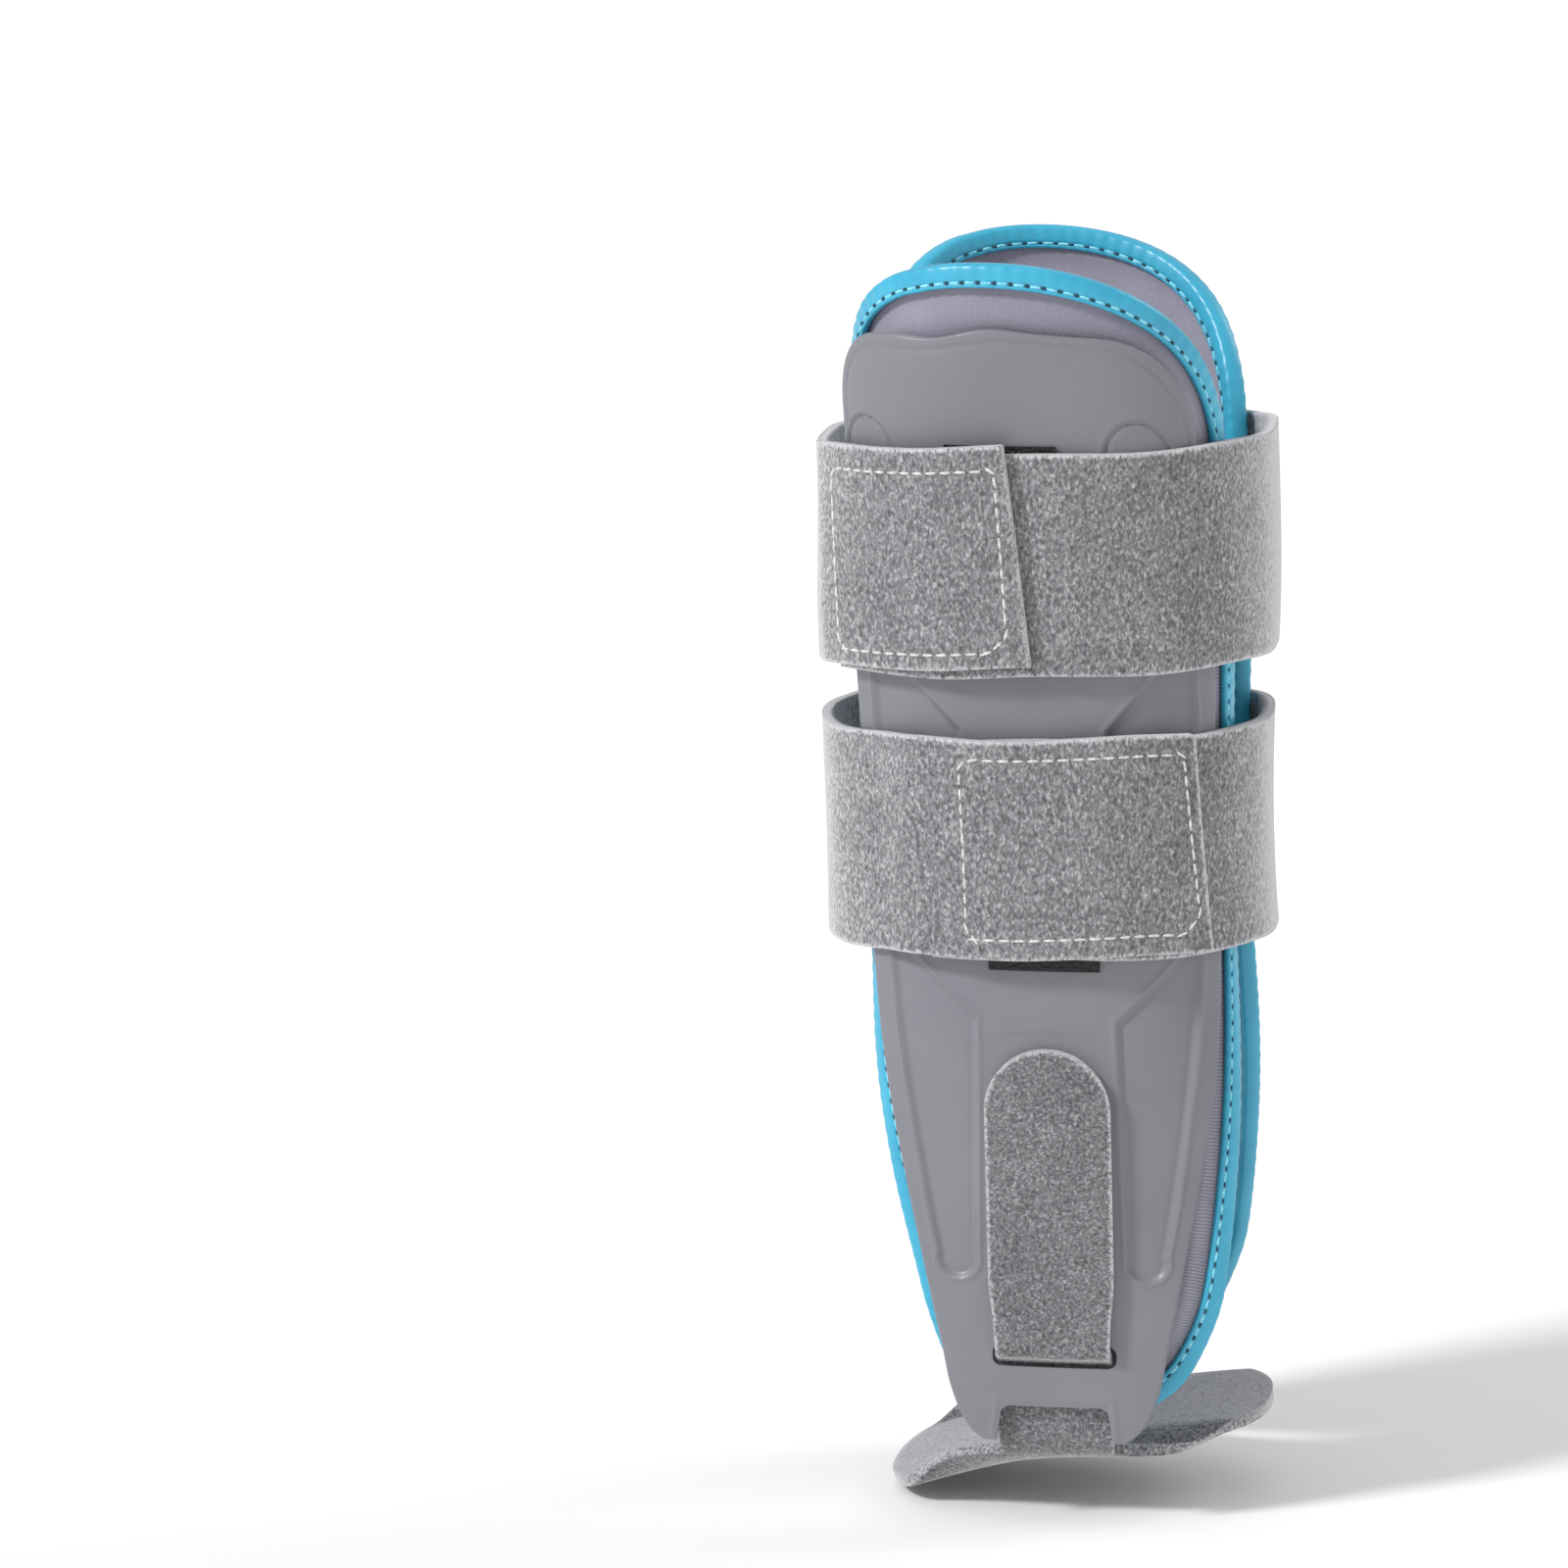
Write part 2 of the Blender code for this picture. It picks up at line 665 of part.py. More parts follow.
def heel_reach(y, z):
    """The heel strap's front and rear half lengths at a place on its path."""
    bend = TAB_TOP - TAB_HALF
    if z > bend:
        half = math.sqrt(max(TAB_HALF**2 - (z - bend)**2, (0.15 * TAB_HALF)**2))
        return half, half
    tab = mix(SLOT_TAB_HALF, TAB_HALF, smoothstep(SLOT_HEIGHT + 2 * FOLD_RADIUS, SLOT_HEIGHT + SLOT_FADE, z))
    share = abs(y) / HEEL_SIDE
    if z > -SEAT_TO_SHELL + HEEL_BEND or share >= 1:
        return tab, tab
    spread = (1 - share**HEEL_ROUND)**(1 / HEEL_ROUND)
    return mix(tab, HEEL_FRONT, spread), mix(tab, HEEL_REAR, spread)


def build_heel_strap(surface, collection):
    half = heel_path()
    path = half + [np.array([-y, z]) for y, z in reversed(half[:-1])]

    def place(across, up):
        y, z = path[round(up * (len(path) - 1))]
        front, rear = heel_reach(y, z)
        along = mix(-front, rear, across)
        section = form_section(z)
        hold = smoothstep(HEEL_SIDE * 0.7, HEEL_SIDE * 1.08, abs(y))
        reach = section["front"] if along < 0 else section["rear"]
        share = min(abs(along) / reach, 0.95)
        bowed = section["side"] * (1 - (1 - share**FORM_SQUARENESS)**(1 / FORM_SQUARENESS)) * hold
        lift = (math.tan(HEEL_TILT) * along - HEEL_DROP * (along / HEEL_FRONT)**2) * (1 - hold)
        y_bowed = y - math.copysign(bowed, y) if abs(y) > 1e-6 else y
        return Vector((section["centre"] + along, y_bowed, z + lift + SEAT_TO_SHELL))

    made = grid_sheet("heel_strap", HEEL_COLUMNS, len(path) - 1, place, surface, collection)
    thicken(made, HEEL_THICK, 0)
    return made


def build():
    clear_scene()
    collection = bpy.data.collections.new(NAME)
    bpy.context.scene.collection.children.link(collection)
    helpers = bpy.data.collections.new("cutters")
    bpy.context.scene.collection.children.link(helpers)

    plastic = material("grey_plastic", (0.24, 0.24, 0.26), 0.42)
    padding = material("lavender_knit", (0.36, 0.34, 0.42), 0.90)
    tape = material("blue_tape", (0.05, 0.45, 0.62), 0.50)
    loop_pile = material("grey_loop_pile", (0.30, 0.30, 0.31), 0.95)
    hook = material("black_hook", (0.01, 0.01, 0.01), 0.80)

    cutters = build_cutters(helpers)
    shell = build_shell(plastic, collection, cutters)
    pad, loop = build_pad(padding, collection)
    binding = build_binding(loop, tape, collection)
    patches = [build_patch(patch, hook, collection) for patch in ("upper", "lower")]
    bpy.context.view_layer.update()
    for piece in [shell, pad, binding, *patches]:
        solid = bpy.data.meshes.new_from_object(piece.evaluated_get(bpy.context.evaluated_depsgraph_get()))
        piece.modifiers.clear()
        piece.data = solid
        mirrored(piece, piece.name.replace("lateral", "medial"), collection)
    build_strap("upper_strap", UPPER_STRAP, UPPER_PATCH, loop_pile, collection)
    build_strap("lower_strap", LOWER_STRAP, LOWER_PATCH, loop_pile, collection)
    build_heel_strap(loop_pile, collection)


build()
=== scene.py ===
"""Stirrup ankle brace: the looks of every surface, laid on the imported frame.

Lengths are in metres. Most pieces are laid out on the brace's body form, as in the part's source:
a height above the shells' foot, a distance round the form from the middle of the side, and an
offset outwards from the shells' outer face.
"""
import math

import bmesh
import bpy
import numpy as np
from mathutils import Matrix, Vector


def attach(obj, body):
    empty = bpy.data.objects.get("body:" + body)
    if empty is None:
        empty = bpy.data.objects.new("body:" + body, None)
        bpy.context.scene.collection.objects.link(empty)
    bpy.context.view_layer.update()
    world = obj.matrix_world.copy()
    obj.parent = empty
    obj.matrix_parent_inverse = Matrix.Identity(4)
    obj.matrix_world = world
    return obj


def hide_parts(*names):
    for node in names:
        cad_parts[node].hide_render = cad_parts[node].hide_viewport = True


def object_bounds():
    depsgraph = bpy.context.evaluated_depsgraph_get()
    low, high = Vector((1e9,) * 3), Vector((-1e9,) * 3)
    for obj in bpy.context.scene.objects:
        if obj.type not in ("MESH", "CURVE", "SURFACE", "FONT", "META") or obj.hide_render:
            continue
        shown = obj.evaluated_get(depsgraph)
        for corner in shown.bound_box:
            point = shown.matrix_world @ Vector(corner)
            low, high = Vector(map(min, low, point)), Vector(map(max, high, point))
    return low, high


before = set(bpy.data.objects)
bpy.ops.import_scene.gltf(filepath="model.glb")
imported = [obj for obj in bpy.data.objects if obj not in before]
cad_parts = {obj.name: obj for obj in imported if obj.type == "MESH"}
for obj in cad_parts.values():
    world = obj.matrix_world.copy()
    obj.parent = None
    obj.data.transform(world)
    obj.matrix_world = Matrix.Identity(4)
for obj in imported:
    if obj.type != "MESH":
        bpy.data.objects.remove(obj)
cad_box = [list(corner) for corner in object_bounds()]

MM = 0.001

# Body form, the part's own sizes
SHELL_HEIGHT = 0.254
FORM_FRONT = 0.0505
FORM_REAR = 0.0480
FORM_SIDE = 0.0570
FORM_LEAN = 0.0085
LEAN_POWER = 1.5
FORM_SQUARENESS = 2.5
SEAT_TO_SHELL = 0.0040
FORM_SECTIONS = (  # height, front, rear, side: shares of SHELL_HEIGHT, FORM_FRONT, FORM_REAR, FORM_SIDE
    (-0.10, 1.16, 1.22, 0.700),
    (0.00, 1.16, 1.20, 0.725),
    (0.16, 1.13, 1.14, 0.772),
    (0.31, 1.08, 1.06, 0.800),
    (0.43, 1.03, 0.97, 0.808),
    (0.53, 1.02, 0.95, 0.820),
    (0.64, 1.02, 0.97, 0.848),
    (0.73, 1.02, 1.01, 0.873),
    (0.90, 0.98, 1.03, 0.945),
    (1.00, 0.98, 1.03, 1.000),
    (1.10, 0.98, 1.04, 1.050),
)
SEAT_GAP = 0.0003
PAD_GAP = 0.0006
WRAP_GAP = 0.0005
SHELL_WALL = 0.0026
SHELL_HALF = 0.0450
SHELL_SWAY = 0.0056
SHELL_CORNER_FRONT = 0.0175
SHELL_CORNER_REAR = 0.0240
SHELL_CROWN = (  # share across the top edge, how far it rises there
    (0.00, 0.0),
    (0.12, 0.0),
    (0.29, -0.0004),
    (0.54, 0.0018),
    (0.78, 0.0008),
    (1.00, 0.0),
)
CROWN_FROM = 0.85
SHELL_OUTLINE = (  # height share of SHELL_HEIGHT, half width share of SHELL_HALF
    (0.000, 0.370),
    (0.008, 0.430),
    (0.018, 0.472),
    (0.041, 0.528),
    (0.090, 0.590),
    (0.175, 0.695),
    (0.260, 0.800),
    (0.320, 0.872),
    (0.385, 0.935),
    (0.450, 0.975),
    (0.600, 1.000),
    (1.000, 1.020),
)
SLOT_HEIGHT = 0.0204
SLOT_TALL = 0.0052
SLOT_FADE = 0.0200
SLOT_CLEAR = 0.0012
NOTCH_TOP = 0.0084
NOTCH_HALF_TOP = 0.0122
NOTCH_HALF_FOOT = 0.0144
NOTCH_ROUND = 0.0020
PAD_THICK = 0.0110
PAD_FLANGE = 0.0013
PAD_TOP_REACH = 0.0145
PAD_FRONT_REACH = 0.0060
PAD_REAR_REACH = 0.0090
PAD_TOP = SHELL_HEIGHT + PAD_TOP_REACH
PAD_FOOT = 0.0055
PAD_ARCH_FRONT = {"drop": 0.0290, "power": 2.2}
PAD_ARCH_REAR = {"drop": 0.0390, "power": 2.0}
PAD_ARCH_TURN = math.radians(66)
PAD_FOOT_ROUND = 0.0260
PAD_FOOT_INSET = 0.62
PAD_SLOPE = 0.0110
PAD_REACHES = (  # height share of SHELL_HEIGHT, front share of PAD_FRONT_REACH, rear of PAD_REAR_REACH
    (0.00, 0.30, 0.90),
    (0.14, 0.45, 1.15),
    (0.25, 0.90, 1.05),
    (0.35, 1.10, 0.90),
    (0.45, 1.00, 0.90),
    (0.65, 0.50, 1.05),
    (1.00, 0.50, 1.25),
)
BINDING_WIDTH = 0.0055
BINDING_WALL = 0.0008
BINDING_GAP = 0.0010
STRAP_WIDTH = 0.0500
STRAP_THICK = 0.0022
LAYER_GAP = 0.0003
STEP_LENGTH = 0.0130
STEP_SHORT = 0.0012
SLANT_FADE = 0.0300
CLIMB_FADE = 0.0900
UPPER_STRAP = {
    "height": 0.799 * SHELL_HEIGHT, "tilt": 0.030, "end": -0.0016, "overlap": 0.0480, "slant": 0.0018,
    "climb": 0.0024, "patch": -0.0050,
}
LOWER_STRAP = {
    "height": 0.545 * SHELL_HEIGHT, "tilt": 0.010, "end": 0.0350, "overlap": 0.0600, "slant": 0.0018,
    "climb": 0.0010, "patch": 0.0,
}
PATCH_WIDTH = 0.0250
PATCH_THICK = 0.0008
PATCH_FADE = 0.0100
HEEL_THICK = 0.0026
TAB_HALF = 0.0142
TAB_TOP = 0.0925
SLOT_TAB_HALF = 0.0130
FOLD_RADIUS = 0.0019
FOLD_SLOPE = math.radians(25)
FOLD_CLEAR = 0.0080
HEEL_BEND = 0.0090
HEEL_FRONT = 0.0415
HEEL_REAR = 0.0465
HEEL_SIDE = 0.0330
HEEL_TILT = math.radians(12.8)
HEEL_DROP = 0.0027
HEEL_ROUND = 2.5

# Camera, as the photograph was taken
CAMERA_TURN = math.radians(6)
CAMERA_RISE = math.radians(10)
CAMERA_AWAY = 1.55
IMAGE = 1600
FOCAL_PIXELS = 6834
SENSOR = 36.0
MIDDLE_HEIGHT = 0.130
MIDDLE_PIXEL = (1100, 883)


def smooth(low, high, value):
    share = np.clip((np.asarray(value, dtype=float) - low) / (high - low), 0.0, 1.0)
    return share * share * (3 - 2 * share)


def mix(first, second, share):
    return first + (second - first) * share


def read_table(table, column, share):
    """A smooth curve through one column of a table whose first column is the share."""
    xs = np.array([row[0] for row in table])
    ys = np.array([row[column] for row in table])
    slopes = np.gradient(ys, xs)
    share = np.asarray(share, dtype=float)
    place = np.clip(np.searchsorted(xs, share) - 1, 0, len(xs) - 2)
    span = xs[place + 1] - xs[place]
    t = np.clip((share - xs[place]) / span, 0.0, 1.0)
    start, end = ys[place], ys[place + 1]
    start_pull, end_pull = slopes[place] * span, slopes[place + 1] * span
    return (start * (2 * t**3 - 3 * t**2 + 1) + start_pull * (t**3 - 2 * t**2 + t)
            + end * (3 * t**2 - 2 * t**3) + end_pull * (t**3 - t**2))


def form_section(height):
    share = np.asarray(height, dtype=float) / SHELL_HEIGHT
    return {
        "centre": -FORM_LEAN * np.maximum(share, 0.0)**LEAN_POWER,
        "front": FORM_FRONT * read_table(FORM_SECTIONS, 1, share),
        "rear": FORM_REAR * read_table(FORM_SECTIONS, 2, share),
        "side": FORM_SIDE * read_table(FORM_SECTIONS, 3, share),
    }


class Form:
    """The body form as a table of evenly spaced places round it, one row for each millimetre of height."""

    low, step, rows_tall, spots, fine = -0.030, 0.001, 340, 1440, 5761

    def __init__(self):
        self.rows, self.totals = [], []
        angle = np.linspace(-math.pi, math.pi, self.fine)
        sine, cosine = np.sin(angle), np.cos(angle)
        power = 2 / FORM_SQUARENESS
        across = np.sign(sine) * np.abs(sine)**power
        along = -np.sign(cosine) * np.abs(cosine)**power
        middle = len(angle) // 2
        for index in range(self.rows_tall):
            section = form_section(self.low + self.step * index)
            x = section["centre"] + across * np.where(sine < 0, section["front"], section["rear"])
            y = along * section["side"]
            length = np.concatenate([[0.0], np.cumsum(np.hypot(np.diff(x), np.diff(y)))])
            total = length[-1]
            places = (np.arange(self.spots) / self.spots - 0.5) * total + length[middle]
            places = places % total
            self.rows.append(np.stack([np.interp(places, length, x), np.interp(places, length, y)], axis=1))
            self.totals.append(total)
        self.rows = np.array(self.rows)
        self.totals = np.array(self.totals)

    def total(self, height):
        place = (np.asarray(height, dtype=float) - self.low) / self.step
        return np.interp(place, np.arange(len(self.totals)), self.totals)

    def read(self, height, share):
        up = np.clip((height - self.low) / self.step, 0, len(self.rows) - 1.001)
        row, up_share = up.astype(int), (up % 1)[..., None]
        round_place = (share % 1.0) * self.spots
        spot, spot_share = round_place.astype(int) % self.spots, (round_place % 1)[..., None]
        following = (spot + 1) % self.spots
        here = mix(self.rows[row, spot], self.rows[row, following], spot_share)
        above = mix(self.rows[row + 1, spot], self.rows[row + 1, following], spot_share)
        return mix(here, above, up_share)

    def lay(self, height, along, outwards):
        """Points on the form and their level normals, for arrays of height, distance round and offset."""
        height, along, outwards = np.broadcast_arrays(*[np.asarray(v, dtype=float)
                                                        for v in (height, along, outwards)])
        share = along / self.total(height) + 0.5
        nudge = 1.5 * MM / self.total(height)
        spot = self.read(height, share)
        run = self.read(height, share + nudge) - self.read(height, share - nudge)
        run /= np.linalg.norm(run, axis=-1, keepdims=True)
        normal = np.stack([run[..., 1], -run[..., 0], np.zeros_like(height)], axis=-1)
        base = np.stack([spot[..., 0], spot[..., 1], height + SEAT_TO_SHELL], axis=-1)
        return base + normal * outwards[..., None], normal


form = Form()


def shell_half(height):
    return SHELL_HALF * read_table(SHELL_OUTLINE, 1, np.asarray(height) / SHELL_HEIGHT)


def shell_middle(height):
    """How far the shell's middle line sways to the front, along the form."""
    return -SHELL_SWAY * np.maximum(2 * np.asarray(height) / SHELL_HEIGHT - 1, 0.0)**LEAN_POWER


def corner_inset(height, radius):
    """How far a rounded top corner draws the shell's edge in at a height."""
    rise = np.clip(height - (SHELL_HEIGHT - radius), 0.0, radius)
    return radius - np.sqrt(radius**2 - rise**2)


def spaced(table, count):
    """Places over a table's range, closer together where its second column is larger."""
    fine = np.linspace(table[0][0], table[-1][0], 4000)
    weight = np.interp(fine, *zip(*table))
    total = np.concatenate([[0.0], np.cumsum((weight[1:] + weight[:-1]) / 2 * np.diff(fine))])
    return np.interp(np.linspace(0, total[-1], count), total, fine)


def new_object(name, mesh):
    made = bpy.data.objects.new(name, mesh)
    bpy.context.scene.collection.objects.link(made)
    return made


def grid_object(name, points, **charts):
    """A sheet of quads through an array of points, rows by columns, with named UV charts in metres."""
    rows, columns = points.shape[:2]
    index = np.arange(rows * columns).reshape(rows, columns)
    quads = np.stack([index[:-1, :-1], index[:-1, 1:], index[1:, 1:], index[1:, :-1]], axis=-1).reshape(-1, 4)
    mesh = bpy.data.meshes.new(name)
    mesh.from_pydata(points.reshape(-1, 3).tolist(), [], quads.tolist())
    for chart_name, chart in charts.items():
        layer = mesh.uv_layers.new(name=chart_name)
        corners = np.empty(len(mesh.loops), dtype=np.int32)
        mesh.loops.foreach_get("vertex_index", corners)
        layer.data.foreach_set("uv", chart.reshape(-1, 2)[corners].astype(np.float32).ravel())
    mesh.polygons.foreach_set("use_smooth", np.ones(len(mesh.polygons), dtype=bool))
    return new_object(name, mesh)


def settle(piece):
    """Turns a piece's modifiers into its plain mesh."""
    bpy.context.view_layer.update()
    solid = bpy.data.meshes.new_from_object(piece.evaluated_get(bpy.context.evaluated_depsgraph_get()))
    piece.modifiers.clear()
    piece.data = solid
    piece.data.name = piece.name
    return piece


def medial(piece, name):
    """The medial copy of a lateral piece, mirrored in the plane Y = 0."""
    mesh = piece.data.copy()
    mesh.name = name
    places = np.empty(len(mesh.vertices) * 3)
    mesh.vertices.foreach_get("co", places)
    places[1::3] *= -1
    mesh.vertices.foreach_set("co", places)
    mesh.flip_normals()
    mesh.update()
    return new_object(name, mesh)


def dress(piece, surface, slot, *nodes):
    piece.data.materials.clear()
    piece.data.materials.append(surface)
    if nodes:
        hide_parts(*nodes)
    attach(piece, "root")
    return piece


def dress_pair(piece, surface, slot, kind=None):
    """Dresses a lateral piece and the medial copy that it makes of it."""
    far = medial(piece, piece.name.replace("lateral", "medial"))
    for side, made in (("lateral", piece), ("medial", far)):
        dress(made, surface, slot, *([f"{side}_{kind}"] if kind else []))
    return far


# Materials

def linear(code):
    """A hex sRGB colour as linear RGBA."""
    parts = [int(code[i:i + 2], 16) / 255 for i in (0, 2, 4)]
    return (*[c / 12.92 if c <= 0.04045 else ((c + 0.055) / 1.055)**2.4 for c in parts], 1.0)


def add(tree, kind, inputs=None, **settings):
    """One node with its settings, its values, and its links given as (node, socket) pairs."""
    made = tree.nodes.new(kind)
    for key, value in settings.items():
        setattr(made, key, value)
    for key, value in (inputs or {}).items():
        socket = made.inputs[key]
        if isinstance(value, tuple) and len(value) == 2 and hasattr(value[0], "outputs"):
            tree.links.new(value[0].outputs[value[1]], socket)
        else:
            socket.default_value = value
    return made


def blank(name):
    surface = bpy.data.materials.new(name)
    surface.use_nodes = True
    surface.node_tree.nodes.clear()
    return surface, surface.node_tree


def close(tree, shader):
    add(tree, "ShaderNodeOutputMaterial", {"Surface": (shader, 0)})


def ramp(tree, source, stops):
    """A colour ramp from (place, hex colour) stops."""
    made = add(tree, "ShaderNodeValToRGB", {"Fac": source})
    while len(made.color_ramp.elements) < len(stops):
        made.color_ramp.elements.new(0.5)
    for element, (place, code) in zip(made.color_ramp.elements, stops):
        element.position = place
        element.color = linear(code)
    return made


WAVE = 2 * math.pi / 20  # a wave texture of scale 1 repeats at this distance


def moulded_polypropylene():
    """Injection-moulded polypropylene: satin grey, with a faint flow mottle and a fine spark-eroded grain."""
    surface, tree = blank("moulded_polypropylene")
    place = add(tree, "ShaderNodeTexCoord")
    flow = add(tree, "ShaderNodeTexNoise", {"Vector": (place, "Object"), "Scale": 28.0, "Detail": 3.0})
    colour = ramp(tree, (flow, 0), ((0.3, "787880"), (0.7, "7f7f86")))
    gloss = add(tree, "ShaderNodeMapRange", {"Value": (flow, 0), "To Min": 0.36, "To Max": 0.44})
    grain = add(tree, "ShaderNodeTexNoise",
                {"Vector": (place, "Object"), "Scale": 1 / (0.7 * MM), "Detail": 2.0})
    bump = add(tree, "ShaderNodeBump", {"Height": (grain, 0), "Strength": 0.10, "Distance": 0.05 * MM})
    shader = add(tree, "ShaderNodeBsdfPrincipled",
                 {"Base Color": (colour, 0), "Roughness": (gloss, 0), "Normal": (bump, 0), "IOR": 1.49})
    close(tree, shader)
    return surface


def ribbed_knit():
    """Lavender jersey laminated to foam: soft and fuzzy, with fine gathers where the tape pinches it, drawn as
    bumps and as painted shade and light in the colour.
    The gathers are 0.55 mm apart on the real cloth and drawn at 0.8 mm, so that they show."""
    surface, tree = blank("ribbed_lavender_knit")
    edge = add(tree, "ShaderNodeUVMap", uv_map="edge")
    chart = add(tree, "ShaderNodeUVMap", uv_map="chart")
    ribs = add(tree, "ShaderNodeTexWave", {"Vector": (edge, 0), "Scale": WAVE / (0.8 * MM), "Distortion": 1.5,
                                           "Detail": 2.0, "Detail Scale": 0.6},
               wave_type="BANDS", bands_direction="X", wave_profile="SIN")
    away = add(tree, "ShaderNodeSeparateXYZ", {"Vector": (edge, 0)})
    fade = add(tree, "ShaderNodeMapRange", {"Value": (away, "Y"), "From Min": 7 * MM, "From Max": 15 * MM,
                                            "To Min": 1.0, "To Max": 0.12})
    place = add(tree, "ShaderNodeTexCoord")
    spot = add(tree, "ShaderNodeSeparateXYZ", {"Vector": (place, "Object")})
    below = add(tree, "ShaderNodeMapRange", {"Value": (spot, "Z"), "From Min": 0.240, "From Max": 0.262,
                                             "To Min": 1.0, "To Max": 0.25})
    pinch = add(tree, "ShaderNodeMath", {0: (fade, 0), 1: (below, 0)}, operation="MULTIPLY")
    gather_bumps_and_shade = add(tree, "ShaderNodeMath", {0: (ribs, 1), 1: (pinch, 0)}, operation="MULTIPLY")
    weave = add(tree, "ShaderNodeTexNoise", {"Vector": (chart, 0), "Scale": 1 / (0.6 * MM), "Detail": 3.0})
    cloud = add(tree, "ShaderNodeTexNoise", {"Vector": (chart, 0), "Scale": 90.0, "Detail": 3.0})
    # The gathers band the colour lighter and darker: painted shade and light on the folds, over the real weave
    # and cloud tone.
    rough = add(tree, "ShaderNodeMath", {0: (weave, 0), 1: 0.9, 2: (gather_bumps_and_shade, 0)}, operation="MULTIPLY_ADD")
    tone = add(tree, "ShaderNodeMath", {0: (cloud, 0), 1: 0.5, 2: (rough, 0)}, operation="MULTIPLY_ADD")
    level = add(tree, "ShaderNodeMapRange", {"Value": (tone, 0), "From Min": 0.35, "From Max": 1.6})
    colour = ramp(tree, (level, 0), ((0.0, "7d7a8a"), (0.5, "93909f"), (1.0, "aaa8b5")))
    bump = add(tree, "ShaderNodeBump", {"Height": (rough, 0), "Strength": 0.5, "Distance": 0.20 * MM})
    shader = add(tree, "ShaderNodeBsdfPrincipled",
                 {"Base Color": (colour, 0), "Roughness": 0.92, "Normal": (bump, 0), "Sheen Weight": 0.25,
                  "Sheen Roughness": 0.5, "Specular IOR Level": 0.2})
    close(tree, shader)
    return surface


def coated_tape():
    """Polyurethane-coated binding tape: smooth saturated blue with a soft gloss and a very fine grain."""
    surface, tree = blank("coated_blue_tape")
    place = add(tree, "ShaderNodeTexCoord")
    cloud = add(tree, "ShaderNodeTexNoise", {"Vector": (place, "Object"), "Scale": 90.0, "Detail": 3.0})
    colour = ramp(tree, (cloud, 0), ((0.3, "2ba0c2"), (0.7, "36adce")))
    grain = add(tree, "ShaderNodeTexNoise",
                {"Vector": (place, "Object"), "Scale": 1 / (0.8 * MM), "Detail": 3.0})
    bump = add(tree, "ShaderNodeBump", {"Height": (grain, 0), "Strength": 0.2, "Distance": 0.06 * MM})
    shader = add(tree, "ShaderNodeBsdfPrincipled",
                 {"Base Color": (colour, 0), "Roughness": 0.42, "Normal": (bump, 0), "Coat Weight": 0.35,
                  "Coat Roughness": 0.25})
    close(tree, shader)
    return surface


def loop_pile(name, stretch, tones):
    """Brushed nylon loop pile: heather grey and matt, pale tufts over hollows darkened by painted shade, paler
    where it turns away as a painted sheen, and fuzzy at its cut edges with a painted highlight on the fuzz.
    Tufts are about 0.5 mm across and drawn at 0.7 mm, so that they show; stretch draws them out up the strap."""
    surface, tree = blank(name)
    place = add(tree, "ShaderNodeTexCoord")
    spread = add(tree, "ShaderNodeMapping", {"Vector": (place, "Object"), "Scale": (1.0, 1.0, 1 / stretch)})
    tufts = add(tree, "ShaderNodeTexNoise",
                {"Vector": (spread, 0), "Scale": 1 / (0.75 * MM), "Detail": 4.0, "Roughness": 0.65,
                 "Distortion": 0.6})
    loops = add(tree, "ShaderNodeTexVoronoi", {"Vector": (spread, 0), "Scale": 1 / (0.7 * MM)})
    patches = add(tree, "ShaderNodeTexNoise", {"Vector": (place, "Object"), "Scale": 60.0, "Detail": 2.0})
    # The tuft noise is a real heather mottle; the Voronoi term darkens the hollows between tufts as painted
    # shade, and also drives the bump.
    pile_relief_and_hollow_shade = add(tree, "ShaderNodeMath", {0: (loops, 0), 1: -0.22, 2: (tufts, 0)}, operation="MULTIPLY_ADD")
    cloudy = add(tree, "ShaderNodeMath", {0: (patches, 0), 1: 0.12, 2: (pile_relief_and_hollow_shade, 0)}, operation="MULTIPLY_ADD")
    # Painted sheen: the colour pales where the pile turns away from the camera.
    away = add(tree, "ShaderNodeLayerWeight", {"Blend": 0.5})
    turned = add(tree, "ShaderNodeMath", {0: (away, "Facing"), 1: 3.0}, operation="POWER")
    shown = add(tree, "ShaderNodeMath", {0: (turned, 0), 1: 0.42, 2: (cloudy, 0)}, operation="MULTIPLY_ADD")
    border = add(tree, "ShaderNodeUVMap", uv_map="border")
    cut = add(tree, "ShaderNodeSeparateXYZ", {"Vector": (border, 0)})
    # Painted highlight on the real fuzz along the cut edges.
    edge_fuzz_and_highlight = add(tree, "ShaderNodeMath", {0: (cut, "X"), 1: (tufts, 0)}, operation="MULTIPLY")
    tone = add(tree, "ShaderNodeMath", {0: (edge_fuzz_and_highlight, 0), 1: 0.55, 2: (shown, 0)}, operation="MULTIPLY_ADD")
    colour = ramp(tree, (tone, 0), tuple(zip((0.24, 0.38, 0.50, 0.72), tones)))
    bump = add(tree, "ShaderNodeBump", {"Height": (pile_relief_and_hollow_shade, 0), "Strength": 1.0, "Distance": 0.30 * MM})
    shader = add(tree, "ShaderNodeBsdfPrincipled",
                 {"Base Color": (colour, 0), "Roughness": 0.95, "Normal": (bump, 0), "Sheen Weight": 0.7,
                  "Sheen Roughness": 0.3, "Specular IOR Level": 0.15})
    close(tree, shader)
    return surface


